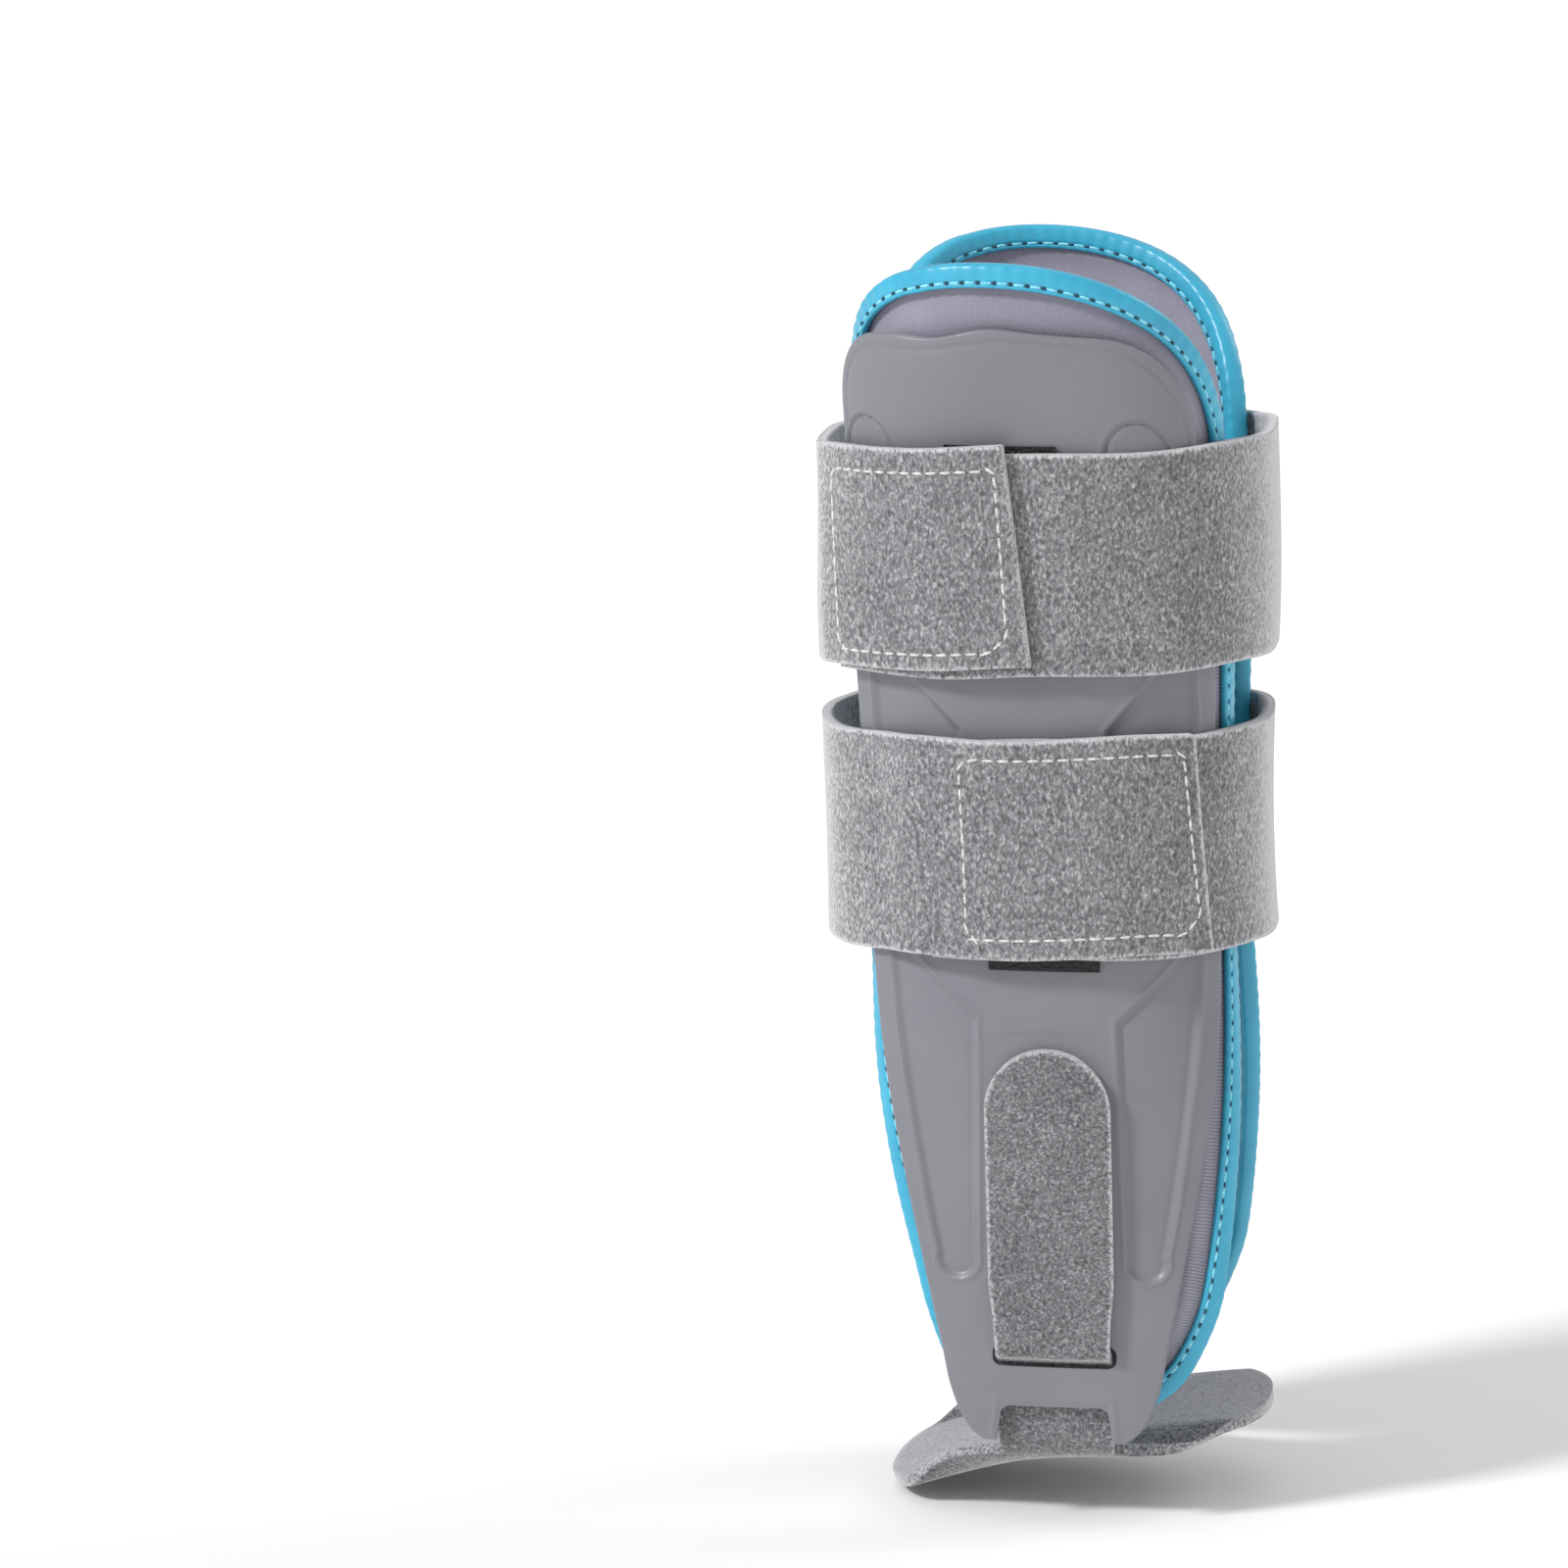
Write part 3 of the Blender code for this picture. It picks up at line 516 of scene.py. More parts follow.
def hook_tape():
    """Moulded black hook tape: near black, with rows of tiny glossy hooks 0.6 mm apart, drawn at 0.9 mm; the
    hooks are painted paler than the hollows between them, as painted light and shade.
    """
    surface, tree = blank("black_hook_tape")
    place = add(tree, "ShaderNodeTexCoord")
    rows = add(tree, "ShaderNodeTexVoronoi", {"Vector": (place, "Object"), "Scale": 1 / (0.9 * MM)})
    bump = add(tree, "ShaderNodeBump", {"Height": (rows, 0), "Strength": 1.0, "Distance": 0.4 * MM})
    # Painted light and shade: the colour is paler at each hook and darker between hooks.
    colour = ramp(tree, (rows, 0), ((0.0, "1a1a1c"), (0.7, "060607")))
    shader = add(tree, "ShaderNodeBsdfPrincipled",
                 {"Base Color": (colour, 0), "Roughness": 0.55, "Normal": (bump, 0)})
    close(tree, shader)
    return surface


def twisted_thread(name, light, dark):
    """Spun polyester thread: two plies twisted at 1 mm, matt, with a light and a dark side."""
    surface, tree = blank(name)
    place = add(tree, "ShaderNodeTexCoord")
    ply = add(tree, "ShaderNodeTexNoise", {"Vector": (place, "Object"), "Scale": 1 / (0.5 * MM), "Detail": 2.0})
    colour = ramp(tree, (ply, 0), ((0.35, dark), (0.6, light)))
    bump = add(tree, "ShaderNodeBump", {"Height": (ply, 0), "Strength": 0.5, "Distance": 0.1 * MM})
    shader = add(tree, "ShaderNodeBsdfPrincipled",
                 {"Base Color": (colour, 0), "Roughness": 0.8, "Normal": (bump, 0), "Sheen Weight": 0.2})
    close(tree, shader)
    return surface


def studio_floor():
    """Matt white paper sweep, a little uneven in tone."""
    surface, tree = blank("white_paper")
    place = add(tree, "ShaderNodeTexCoord")
    tone = add(tree, "ShaderNodeTexNoise", {"Vector": (place, "Object"), "Scale": 3.0})
    colour = ramp(tree, (tone, 0), ((0.0, "f6f6f6"), (1.0, "fbfbfb")))
    shader = add(tree, "ShaderNodeBsdfPrincipled", {"Base Color": (colour, 0), "Roughness": 0.9})
    close(tree, shader)
    return surface


# Stitches: short capsules of thread along a path

def stitch_tree(thread):
    """Geometry nodes that set one stitch on each pitch of a path."""
    tree = bpy.data.node_groups.new("stitches_" + thread.name, "GeometryNodeTree")
    for name, kind, way in (("Geometry", "NodeSocketGeometry", "INPUT"), ("Pitch", "NodeSocketFloat", "INPUT"),
                            ("Length", "NodeSocketFloat", "INPUT"), ("Radius", "NodeSocketFloat", "INPUT"),
                            ("Shift", "NodeSocketFloat", "INPUT"),
                            ("Geometry", "NodeSocketGeometry", "OUTPUT")):
        tree.interface.new_socket(name, in_out=way, socket_type=kind)
    given = add(tree, "NodeGroupInput")
    path = add(tree, "GeometryNodeMeshToCurve", {"Mesh": (given, "Geometry")})
    spread = add(tree, "GeometryNodeResampleCurve", {"Curve": (path, 0), "Length": (given, "Pitch")},
                 mode="LENGTH")
    bead = add(tree, "GeometryNodeMeshUVSphere", {"Segments": 8, "Rings": 6, "Radius": 1.0})
    half = add(tree, "ShaderNodeMath", {0: (given, "Length"), 1: 0.5}, operation="MULTIPLY")
    size = add(tree, "ShaderNodeCombineXYZ",
               {"X": (half, 0), "Y": (given, "Radius"), "Z": (given, "Radius")})
    moved = add(tree, "ShaderNodeCombineXYZ", {"X": (given, "Shift")})
    shaped = add(tree, "GeometryNodeTransform",
                 {"Geometry": (bead, 0), "Translation": (moved, 0), "Scale": (size, 0)})
    tangent = add(tree, "GeometryNodeInputTangent")
    turned = add(tree, "FunctionNodeAlignRotationToVector", {"Vector": (tangent, 0)}, axis="X")
    placed = add(tree, "GeometryNodeInstanceOnPoints",
                 {"Points": (spread, 0), "Instance": (shaped, 0), "Rotation": (turned, 0)})
    real = add(tree, "GeometryNodeRealizeInstances", {"Geometry": (placed, 0)})
    coloured = add(tree, "GeometryNodeSetMaterial", {"Geometry": (real, 0), "Material": thread})
    add(tree, "NodeGroupOutput", {"Geometry": (coloured, 0)})
    return tree


def stitch_run(name, paths, closed, tree, pitch, length, radius, shift=0.0):
    """Stitches along one or more paths of points, each shifted on along its path."""
    vertices, edges = [], []
    for path in paths:
        first = len(vertices)
        vertices += [tuple(point) for point in path]
        edges += [(first + i, first + i + 1) for i in range(len(path) - 1)]
        if closed:
            edges.append((len(vertices) - 1, first))
    mesh = bpy.data.meshes.new(name)
    mesh.from_pydata(vertices, edges, [])
    made = new_object(name, mesh)
    sewing = made.modifiers.new("Sewing", "NODES")
    sewing.node_group = tree
    values = {"Pitch": pitch, "Length": length, "Radius": radius, "Shift": shift}
    for socket in tree.interface.items_tree:
        if socket.in_out == "INPUT" and socket.name in values:
            sewing[socket.identifier] = values[socket.name]
    settle(made)
    made.data.polygons.foreach_set("use_smooth", np.ones(len(made.data.polygons), dtype=bool))
    return made


# Shells

def line_distance(along, height, points):
    """Distance from each place to an open line through points, in the developed plane."""
    best = np.full(along.shape, 1.0)
    for (a0, h0), (a1, h1) in zip(points, points[1:]):
        run = np.array([a1 - a0, h1 - h0])
        size = max(run @ run, 1e-12)
        share = np.clip(((along - a0) * run[0] + (height - h0) * run[1]) / size, 0, 1)
        best = np.minimum(best, np.hypot(along - a0 - share * run[0], height - h0 - share * run[1]))
    return best


RIM_INSET = (5.2 * MM, 7.0 * MM)
PANEL_STEP = 0.80 * MM
LINE_HALF = 0.50 * MM
LOWER_PANEL = {
    "foot": (17.6 * MM, 43.0 * MM), "knee": (16.4 * MM, 98.5 * MM), "flare": (31.6 * MM, 112.5 * MM),
    "end": (21.8 * MM, 43.0 * MM), "round": 4.4 * MM,
}
UPPER_PANEL = {
    "foot": (17.0 * MM, 127.0 * MM), "knee": (17.0 * MM, 165.0 * MM), "flare": (27.0 * MM, 175.5 * MM),
}
RINGS = ((-35.5 * MM, 227.0 * MM), (30.0 * MM, 227.0 * MM))
RING_RADIUS = 7.5 * MM
LEDGE = {"half": 10.5 * MM, "height": 96.0 * MM, "arch": 0.8 * MM}
NOTCH_LIP = ((-14.6 * MM, -3.0 * MM), (-13.3 * MM, 9.9 * MM), (13.3 * MM, 9.9 * MM), (14.6 * MM, -3.0 * MM))
SHELL_ROW_DENSITY = (  # height in metres, rows for each length
    (0.000, 1.8), (0.012, 1.8), (0.014, 0.8), (0.034, 0.8), (0.037, 1.7), (0.048, 1.7), (0.051, 0.6),
    (0.091, 0.6), (0.093, 1.7), (0.115, 1.7), (0.118, 0.5), (0.161, 0.5), (0.163, 1.5), (0.184, 1.5),
    (0.187, 0.4), (0.214, 0.4), (0.217, 1.6), (0.250, 1.8), (0.254, 2.4),
)
SHELL_COLUMN_DENSITY = (  # share of the half width, columns for each length
    (-1.00, 3.2), (-0.95, 2.6), (-0.90, 1.6), (-0.35, 1.6), (-0.30, 0.5), (0.30, 0.5), (0.35, 1.6), (0.90, 1.6),
    (0.95, 2.6), (1.00, 3.2),
)


def panel_slack(across, height, panel):
    """How far a place lies inside a side panel, across from the shell's middle line; negative outside."""
    (foot_across, foot_height), (knee_across, knee_height) = panel["foot"], panel["knee"]
    flare_across, flare_height = panel["flare"]
    inner = mix(foot_across, knee_across, np.clip((height - foot_height) / (knee_height - foot_height), 0, 1))
    run = np.hypot(flare_across - knee_across, flare_height - knee_height)
    beyond = ((across - knee_across) * (flare_height - knee_height)
              - (height - knee_height) * (flare_across - knee_across)) / run
    outer = shell_half(height) - mix(*RIM_INSET, smooth(0.04, 0.10, height)) - across
    slack = np.minimum(np.minimum(across - inner, beyond), outer)
    if "end" in panel:
        end_across, end_height = panel["end"]
        end = panel["round"] - np.hypot(across - end_across, height - end_height)
        return np.where(height < end_height, end, slack)
    return np.minimum(slack, height - foot_height)


def shell_relief(along, height):
    """Moulded relief: sunk side panels with a fine lip, rings, a ledge over the tab and a lip at the notch."""
    across = along - shell_middle(height)
    depth = np.zeros_like(along)
    for panel in (LOWER_PANEL, UPPER_PANEL):
        slack = panel_slack(np.abs(across), height, panel)
        depth -= PANEL_STEP * smooth(-LINE_HALF, LINE_HALF, slack)
        depth += 0.34 * MM * np.exp(-((slack + 1.1 * MM) / (0.45 * MM))**2)
        depth -= 0.12 * MM * np.exp(-((slack - 0.9 * MM) / (0.45 * MM))**2)
    for ring_across, ring_height in RINGS:
        ring = np.hypot(across - ring_across, height - ring_height) - RING_RADIUS
        depth -= 0.60 * MM * np.exp(-(ring / (0.45 * MM))**2)
        depth += 0.16 * MM * np.exp(-((ring - 1.1 * MM) / (0.5 * MM))**2)
    arched = height - LEDGE["height"] - LEDGE["arch"] * (1 - (across / LEDGE["half"])**2)
    ledge = np.hypot(np.maximum(np.abs(across) - LEDGE["half"], 0), arched)
    depth += 0.34 * MM * np.exp(-(ledge / (0.5 * MM))**2)
    depth += 0.28 * MM * np.exp(-(line_distance(across, height, NOTCH_LIP) / (0.7 * MM))**2)
    rim = shell_gap(along, height) - 3.0 * MM
    depth -= 0.32 * MM * np.exp(-(rim / (0.55 * MM))**2) * smooth(0.20, 0.22, height)
    return depth


def shell_gap(along, height):
    """Distance in from the shell's sides and top edge."""
    across, half = along - shell_middle(height), shell_half(height)
    gap = np.minimum(half - np.abs(across), SHELL_HEIGHT - height)
    for side, radius in ((-1, SHELL_CORNER_FRONT), (1, SHELL_CORNER_REAR)):
        beside, above = side * across - half + radius, height - SHELL_HEIGHT + radius
        gap = np.where((beside > 0) & (above > 0), radius - np.hypot(beside, above), gap)
    return gap


def cutter(name, foot, top, half_foot, half_top):
    """A block with rounded ends through the shell's wall, for the slot and the notch."""
    side = float(form_section(SLOT_HEIGHT)["side"])
    depth = 8 * SHELL_WALL
    block = bmesh.new()
    bmesh.ops.create_cube(block, size=1.0)
    for vertex in block.verts:
        high = vertex.co.z > 0
        vertex.co.x = math.copysign(half_top if high else half_foot, vertex.co.x)
        vertex.co.y = -side + vertex.co.y * depth
        vertex.co.z = (top if high else foot) + SEAT_TO_SHELL
    uprights = [edge for edge in block.edges if abs(edge.verts[0].co.y - edge.verts[1].co.y) > depth / 2]
    bmesh.ops.bevel(block, geom=uprights, offset=NOTCH_ROUND, segments=6, profile=0.5, affect="EDGES")
    mesh = bpy.data.meshes.new(name)
    block.to_mesh(mesh)
    block.free()
    return new_object(name, mesh)


SHELL_ROWS, SHELL_COLUMNS = 300, 127
ROUND_OVER = 0.9 * MM
CREASE = math.radians(48)


def make_shells(plastic):
    heights = spaced(SHELL_ROW_DENSITY, SHELL_ROWS)[:, None]
    share = (spaced(SHELL_COLUMN_DENSITY, SHELL_COLUMNS)[None, :] + 1) / 2
    front = shell_middle(heights) - shell_half(heights) + corner_inset(heights, SHELL_CORNER_FRONT)
    rear = shell_middle(heights) + shell_half(heights) - corner_inset(heights, SHELL_CORNER_REAR)
    along = mix(front, rear, share)
    height = heights + 0 * along
    crown = read_table(SHELL_CROWN, 1, share) * smooth(CROWN_FROM, 1.0, height / SHELL_HEIGHT)
    gap = shell_gap(along, height)
    inside = np.clip(gap / ROUND_OVER, 0, 1)
    fall = ROUND_OVER * (1 - np.sqrt(np.clip(1 - (1 - inside)**2, 0, 1)))
    outwards = shell_relief(along, height) * smooth(0, 2.0 * MM, gap) - fall
    points, _ = form.lay(height + crown, along, outwards)
    shell = grid_object("side_shell_lateral", points, chart=np.stack([along, height], axis=-1))
    wall = shell.modifiers.new("Wall", "SOLIDIFY")
    wall.thickness = SHELL_WALL - ROUND_OVER * 0.6
    wall.offset = -1
    half_slot = SLOT_TAB_HALF + SLOT_CLEAR
    cuts = (
        cutter("slot_cutter", SLOT_HEIGHT - SLOT_TALL / 2, SLOT_HEIGHT + SLOT_TALL / 2, half_slot, half_slot),
        cutter("notch_cutter", -2 * SEAT_TO_SHELL, NOTCH_TOP, NOTCH_HALF_FOOT, NOTCH_HALF_TOP),
    )
    for block in cuts:
        cut = shell.modifiers.new(block.name, "BOOLEAN")
        cut.operation = "DIFFERENCE"
        cut.solver = "EXACT"
        cut.object = block
    settle(shell)
    for block in cuts:
        bpy.data.objects.remove(block)
    shell.data.set_sharp_from_angle(angle=CREASE)
    dress_pair(shell, plastic, "shell_plastic", "shell")


# Pads and their bindings

def arch_share(height, arch):
    """What share of its width the pad keeps at a height, on one side of its arched top."""
    rise = np.clip((height - PAD_TOP + arch["drop"]) / arch["drop"], 0.0, 1.0)
    return (1 - rise**arch["power"])**(1 / arch["power"])


def pad_edges(height):
    """The pad's front and rear edges along the form, before its foot is rounded."""
    height = np.asarray(height, dtype=float)
    share = np.minimum(height / SHELL_HEIGHT, 1.0)
    middle, half = shell_middle(height), shell_half(height)
    front = half + PAD_FRONT_REACH * read_table(PAD_REACHES, 1, share)
    rear = half + PAD_REAR_REACH * read_table(PAD_REACHES, 2, share)
    return (middle - front * arch_share(height, PAD_ARCH_FRONT),
            middle + rear * arch_share(height, PAD_ARCH_REAR))


def pad_rows(bend, straight):
    """Each row's ends on the pad's edge, front along and height, rear along and height, and its bow."""
    low = PAD_FOOT + PAD_FOOT_ROUND
    front_low, rear_low = pad_edges(low)
    angle = math.pi / 2 * (1 - np.arange(bend) / bend)
    foot = low - PAD_FOOT_ROUND * np.sin(angle)
    front, rear = pad_edges(foot)
    inset = PAD_FOOT_INSET * (1 - np.cos(angle))**LEAN_POWER
    rows = [np.stack([front - front_low * inset, foot, rear - rear_low * inset, foot, 0 * foot], axis=1)]
    share = np.linspace(0, 1, straight, endpoint=False)
    turn = np.linspace(0, 1, bend + 1)
    ends = []
    for side, arch in enumerate((PAD_ARCH_FRONT, PAD_ARCH_REAR)):
        climb = np.sin(PAD_ARCH_TURN * turn)**(2 / arch["power"])
        heights = np.concatenate([mix(low, PAD_TOP - arch["drop"], share),
                                  PAD_TOP - arch["drop"] * (1 - climb)])
        ends += [pad_edges(heights)[side], heights]
    rows.append(np.stack([*ends, np.concatenate([0 * share, turn])], axis=1))
    return np.concatenate(rows)


def pad_spots(rows, across):
    """Places in the pad's rows; the rows bow up into the arch towards the top."""
    front, front_height, rear, rear_height, bow = [column[:, None] for column in rows.T]
    along = mix(front, rear, across)
    height = mix(front_height, rear_height, across)
    front_full, rear_full = pad_edges(PAD_TOP - PAD_ARCH_REAR["drop"])
    middle = float(shell_middle(PAD_TOP))
    arched = np.zeros_like(along)
    sides = ((PAD_ARCH_FRONT, front_full, along < middle), (PAD_ARCH_REAR, rear_full, along >= middle))
    for arch, full, side in sides:
        share = np.clip((along - middle) / (full - middle), 0.0, 1.0)
        drop = arch["drop"] * (1 - (1 - share**arch["power"])**(1 / arch["power"]))
        arched = np.where(side, PAD_TOP - drop, arched)
    return along, height + np.maximum(arched - height, 0.0) * bow**2


def pad_loop(rows):
    """The pad's edge as (along, height) places, once round from the front of its foot."""
    along, height = pad_spots(rows, np.linspace(0, 1, 26)[None, :])
    spots = np.stack([along, height], axis=-1)
    return np.concatenate([spots[:, 0], spots[-1, 1:-1], spots[::-1, -1], spots[0, -2:0:-1]])


def edge_distance(loop, along, height):
    return line_distance(along, height, [*map(tuple, loop), tuple(loop[0])])


def edge_chart(loop, along, height, gap):
    """Where each place lies along the pad's edge, and how far in from it."""
    closed = np.vstack([loop, loop[:1]])
    length = np.concatenate([[0.0], np.cumsum(np.hypot(*np.diff(closed, axis=0).T))])
    places = np.linspace(0, length[-1], 1200)
    spots = np.stack([np.interp(places, length, closed[:, 0]), np.interp(places, length, closed[:, 1])], axis=1)
    away = np.hypot(along[..., None] - spots[:, 0], height[..., None] - spots[:, 1])
    return np.stack([places[np.argmin(away, axis=-1)], gap], axis=-1)


def pad_depth(loop, along, height):
    """How far the pad's outer face lies inside the form: deeper at its front edge and behind the tab."""
    depth = SHELL_WALL + PAD_GAP
    tuck = PAD_GAP + BINDING_WALL + BINDING_GAP
    forward = smooth(-0.1, 0.8, -along / shell_half(height))
    foot = 1 - smooth(PAD_FOOT + 0.3 * PAD_FOOT_ROUND, PAD_FOOT + 1.15 * PAD_FOOT_ROUND, height)
    near_edge = 1 - smooth(1.2 * BINDING_WIDTH, 2.2 * BINDING_WIDTH, edge_distance(loop, along, height))
    depth = depth + tuck * np.maximum(forward, foot) * near_edge
    low = 1 - smooth(SLOT_HEIGHT + SLOT_TALL, SLOT_HEIGHT + SLOT_FADE, height)
    beside = 1 - smooth(1.2 * SLOT_TAB_HALF, 1.9 * SLOT_TAB_HALF, np.abs(along))
    return depth + (HEEL_THICK + SEAT_GAP) * low * np.maximum(beside, foot)


COVER_FRAMES = 20
COVER_SWELL = 3.0 * MM  # the most that the cover may rise


def puff(pad, pinned):
    """Lets the cover swell over its foam: cloth under a little pressure, held where it is sewn."""
    still = np.empty(len(pad.data.vertices) * 3)
    pad.data.vertices.foreach_get("co", still)
    group = pad.vertex_groups.new(name="Sewn")
    group.add([int(i) for i in np.nonzero(pinned)[0]], 1.0, "REPLACE")
    cloth = pad.modifiers.new("Cover", "CLOTH")
    cloth.settings.vertex_group_mass = "Sewn"
    cloth.settings.use_pressure = True
    cloth.settings.uniform_pressure_force = 4.0
    cloth.settings.effector_weights.gravity = 0.0
    cloth.settings.tension_stiffness = 8.0
    cloth.settings.compression_stiffness = 8.0
    cloth.settings.bending_stiffness = 0.3
    cloth.settings.quality = 5
    cloth.point_cache.frame_end = COVER_FRAMES
    for number in range(1, COVER_FRAMES + 1):
        bpy.context.scene.frame_set(number)
    settle(pad)
    bpy.context.scene.frame_set(1)
    moved = np.empty_like(still)
    pad.data.vertices.foreach_get("co", moved)
    shift = (moved - still).reshape(-1, 3)
    size = np.linalg.norm(shift, axis=1, keepdims=True)
    shift *= np.minimum(1, COVER_SWELL / np.maximum(size, 1e-9))
    pad.data.vertices.foreach_set("co", (still.reshape(-1, 3) + shift).ravel())
    pad.data.update()


def make_pads(knit):
    rows = pad_rows(12, 70)
    loop = pad_loop(rows)
    along, height = pad_spots(rows, np.linspace(0, 1, 47)[None, :])
    gap = edge_distance(loop, along, height)
    start = 1.15 * BINDING_WIDTH
    thick = mix(PAD_FLANGE, PAD_THICK - 1.5 * MM, smooth(start, start + PAD_SLOPE, gap))
    past_shell = -shell_gap(along, height)
    bulge = 0.9 * MM * smooth(0.6 * MM, 2.5 * MM, past_shell) * smooth(BINDING_WIDTH, 1.5 * BINDING_WIDTH, gap)
    points, _ = form.lay(height, along, -pad_depth(loop, along, height) + bulge)
    chart = np.stack([along, height], axis=-1)
    pad = grid_object("foam_pad_lateral", points, chart=chart, edge=edge_chart(loop, along, height, gap))
    foam = pad.vertex_groups.new(name="Foam")
    for index, weight in enumerate((thick / PAD_THICK).ravel()):
        foam.add([index], float(weight), "REPLACE")
    wall = pad.modifiers.new("Foam", "SOLIDIFY")
    wall.thickness = PAD_THICK
    wall.offset = -1
    wall.vertex_group = "Foam"
    settle(pad)
    count = len(pad.data.vertices)
    held = np.ones(count, dtype=bool)
    inner = np.arange(count) >= gap.size
    inner_gap = np.resize(gap.ravel(), count)
    held[inner & (inner_gap > 1.3 * BINDING_WIDTH)] = False
    puff(pad, held)
    soften = pad.modifiers.new("Soften", "SUBSURF")
    soften.levels = soften.render_levels = 1
    settle(pad)
    pad.data.polygons.foreach_set("use_smooth", np.ones(len(pad.data.polygons), dtype=bool))
    far = dress_pair(pad, knit, "pad_fabric", "pad")


STITCH_PITCH = 3.7 * MM
BINDING_SPOTS = 720
PUCKER = 0.10 * MM


def make_bindings(tape, blue_sewing, hole_shade_sewing):
    """A folded tape round each pad's edge, puckered between its stitches, with dark beads of painted shade at
    its needle holes.
    """
    loop = pad_loop(pad_rows(30, 110))
    steps = np.hypot(*np.diff(np.vstack([loop, loop[:1]]), axis=0).T)
    length = np.concatenate([[0], np.cumsum(steps)])
    places = np.linspace(0, length[-1], BINDING_SPOTS, endpoint=False)
    closed = np.vstack([loop, loop[:1]])
    along = np.interp(places, length, closed[:, 0])
    height = np.interp(places, length, closed[:, 1])
    depth = pad_depth(pad_loop(pad_rows(8, 30)), along, height) + PAD_FLANGE / 2
    centre, normal = form.lay(height, along, -depth)
    for _ in range(3):
        centre = (np.roll(centre, 1, axis=0) + centre + np.roll(centre, -1, axis=0)) / 3
    run = np.roll(centre, -1, axis=0) - np.roll(centre, 1, axis=0)
    run /= np.linalg.norm(run, axis=1, keepdims=True)
    outwards = np.cross(normal, run)
    outwards /= np.linalg.norm(outwards, axis=1, keepdims=True)
    normal = np.cross(run, outwards)
    leg = PAD_FLANGE / 2 + 0.35 * MM
    back = PAD_FLANGE / 2 + BINDING_GAP + BINDING_WALL
    nose = BINDING_GAP + BINDING_WALL
    tail = nose - BINDING_WIDTH
    stitch_at = tail + 1.2 * MM
    bow = [(tail, back - 0.45 * MM), (tail + 0.3 * MM, back - 0.1 * MM),
           (stitch_at - 0.35 * MM, back - 0.05 * MM), (stitch_at, back - 0.42 * MM),
           (stitch_at + 0.4 * MM, back - 0.05 * MM), (stitch_at + 1.0 * MM, back),
           (nose - 1.1 * MM, back - 0.1 * MM), (nose - 0.45 * MM, back - 0.45 * MM),
           (nose - 0.12 * MM, back - 1.1 * MM), (nose, 0.0)]
    profile = bow + [(e, -n) for e, n in bow[-2::-1]]
    profile += [(tail, -leg), (BINDING_GAP, -leg), (BINDING_GAP, leg), (tail, leg)]
    profile = np.array(profile)
    pucker = PUCKER * np.cos(2 * math.pi * places / STITCH_PITCH)
    outside = np.abs(profile[:, 1]) > leg + 0.1 * MM
    swell = np.sign(profile[:, 1])[None, :] * pucker[:, None] * outside[None, :]
    ring = (centre[:, None, :] + outwards[:, None, :] * profile[None, :, 0, None]
            + normal[:, None, :] * (profile[:, 1][None, :] + swell)[..., None])
    sides = len(profile)
    index = np.arange(BINDING_SPOTS * sides).reshape(BINDING_SPOTS, sides)
    after = np.roll(index, -1, axis=0)
    quads = np.stack([index, after, np.roll(after, -1, axis=1), np.roll(index, -1, axis=1)], axis=-1)
    quads = quads.reshape(-1, 4)
    mesh = bpy.data.meshes.new("bound_edge_lateral")
    mesh.from_pydata(ring.reshape(-1, 3).tolist(), [], quads.tolist())
    work = bmesh.new()
    work.from_mesh(mesh)
    bmesh.ops.recalc_face_normals(work, faces=work.faces)
    work.to_mesh(mesh)
    work.free()
    mesh.polygons.foreach_set("use_smooth", np.ones(len(mesh.polygons), dtype=bool))
    binding = new_object("bound_edge_lateral", mesh)
    dress_pair(binding, tape, "binding_tape", "binding")
    paths = [centre + outwards * stitch_at + normal * (side * (back - 0.25 * MM)) for side in (1, -1)]
    runs = (  # name, thread, length, radius, how far along from the stitch's place
        ("edge_stitches_lateral", blue_sewing, 2.9 * MM, 0.36 * MM, 0.0),
        # Dark beads of thread at the needle holes: painted shade in the holes.
        ("needle_holes_lateral", hole_shade_sewing, 1.4 * MM, 0.44 * MM, STITCH_PITCH / 2),
    )
    for name, sewing, length, radius, shift in runs:
        thread = stitch_run(name, paths, True, sewing, STITCH_PITCH, length, radius, shift)
        dress_pair(thread, thread.data.materials[-1], "binding_tape")


# Wrap straps

def strap_lift(along, total, patch):
    """The strap's inner face rides over the hook patch near the middle of each shell."""
    lift = np.zeros_like(along)
    for middle in (patch, total / 2 - patch, -total / 2 - patch):
        away = np.abs(along - middle) - PATCH_WIDTH / 2 - SEAT_GAP
        lift = np.maximum(lift, 1 - smooth(0.0, PATCH_FADE, away))
    return WRAP_GAP + (PATCH_THICK + SEAT_GAP) * lift


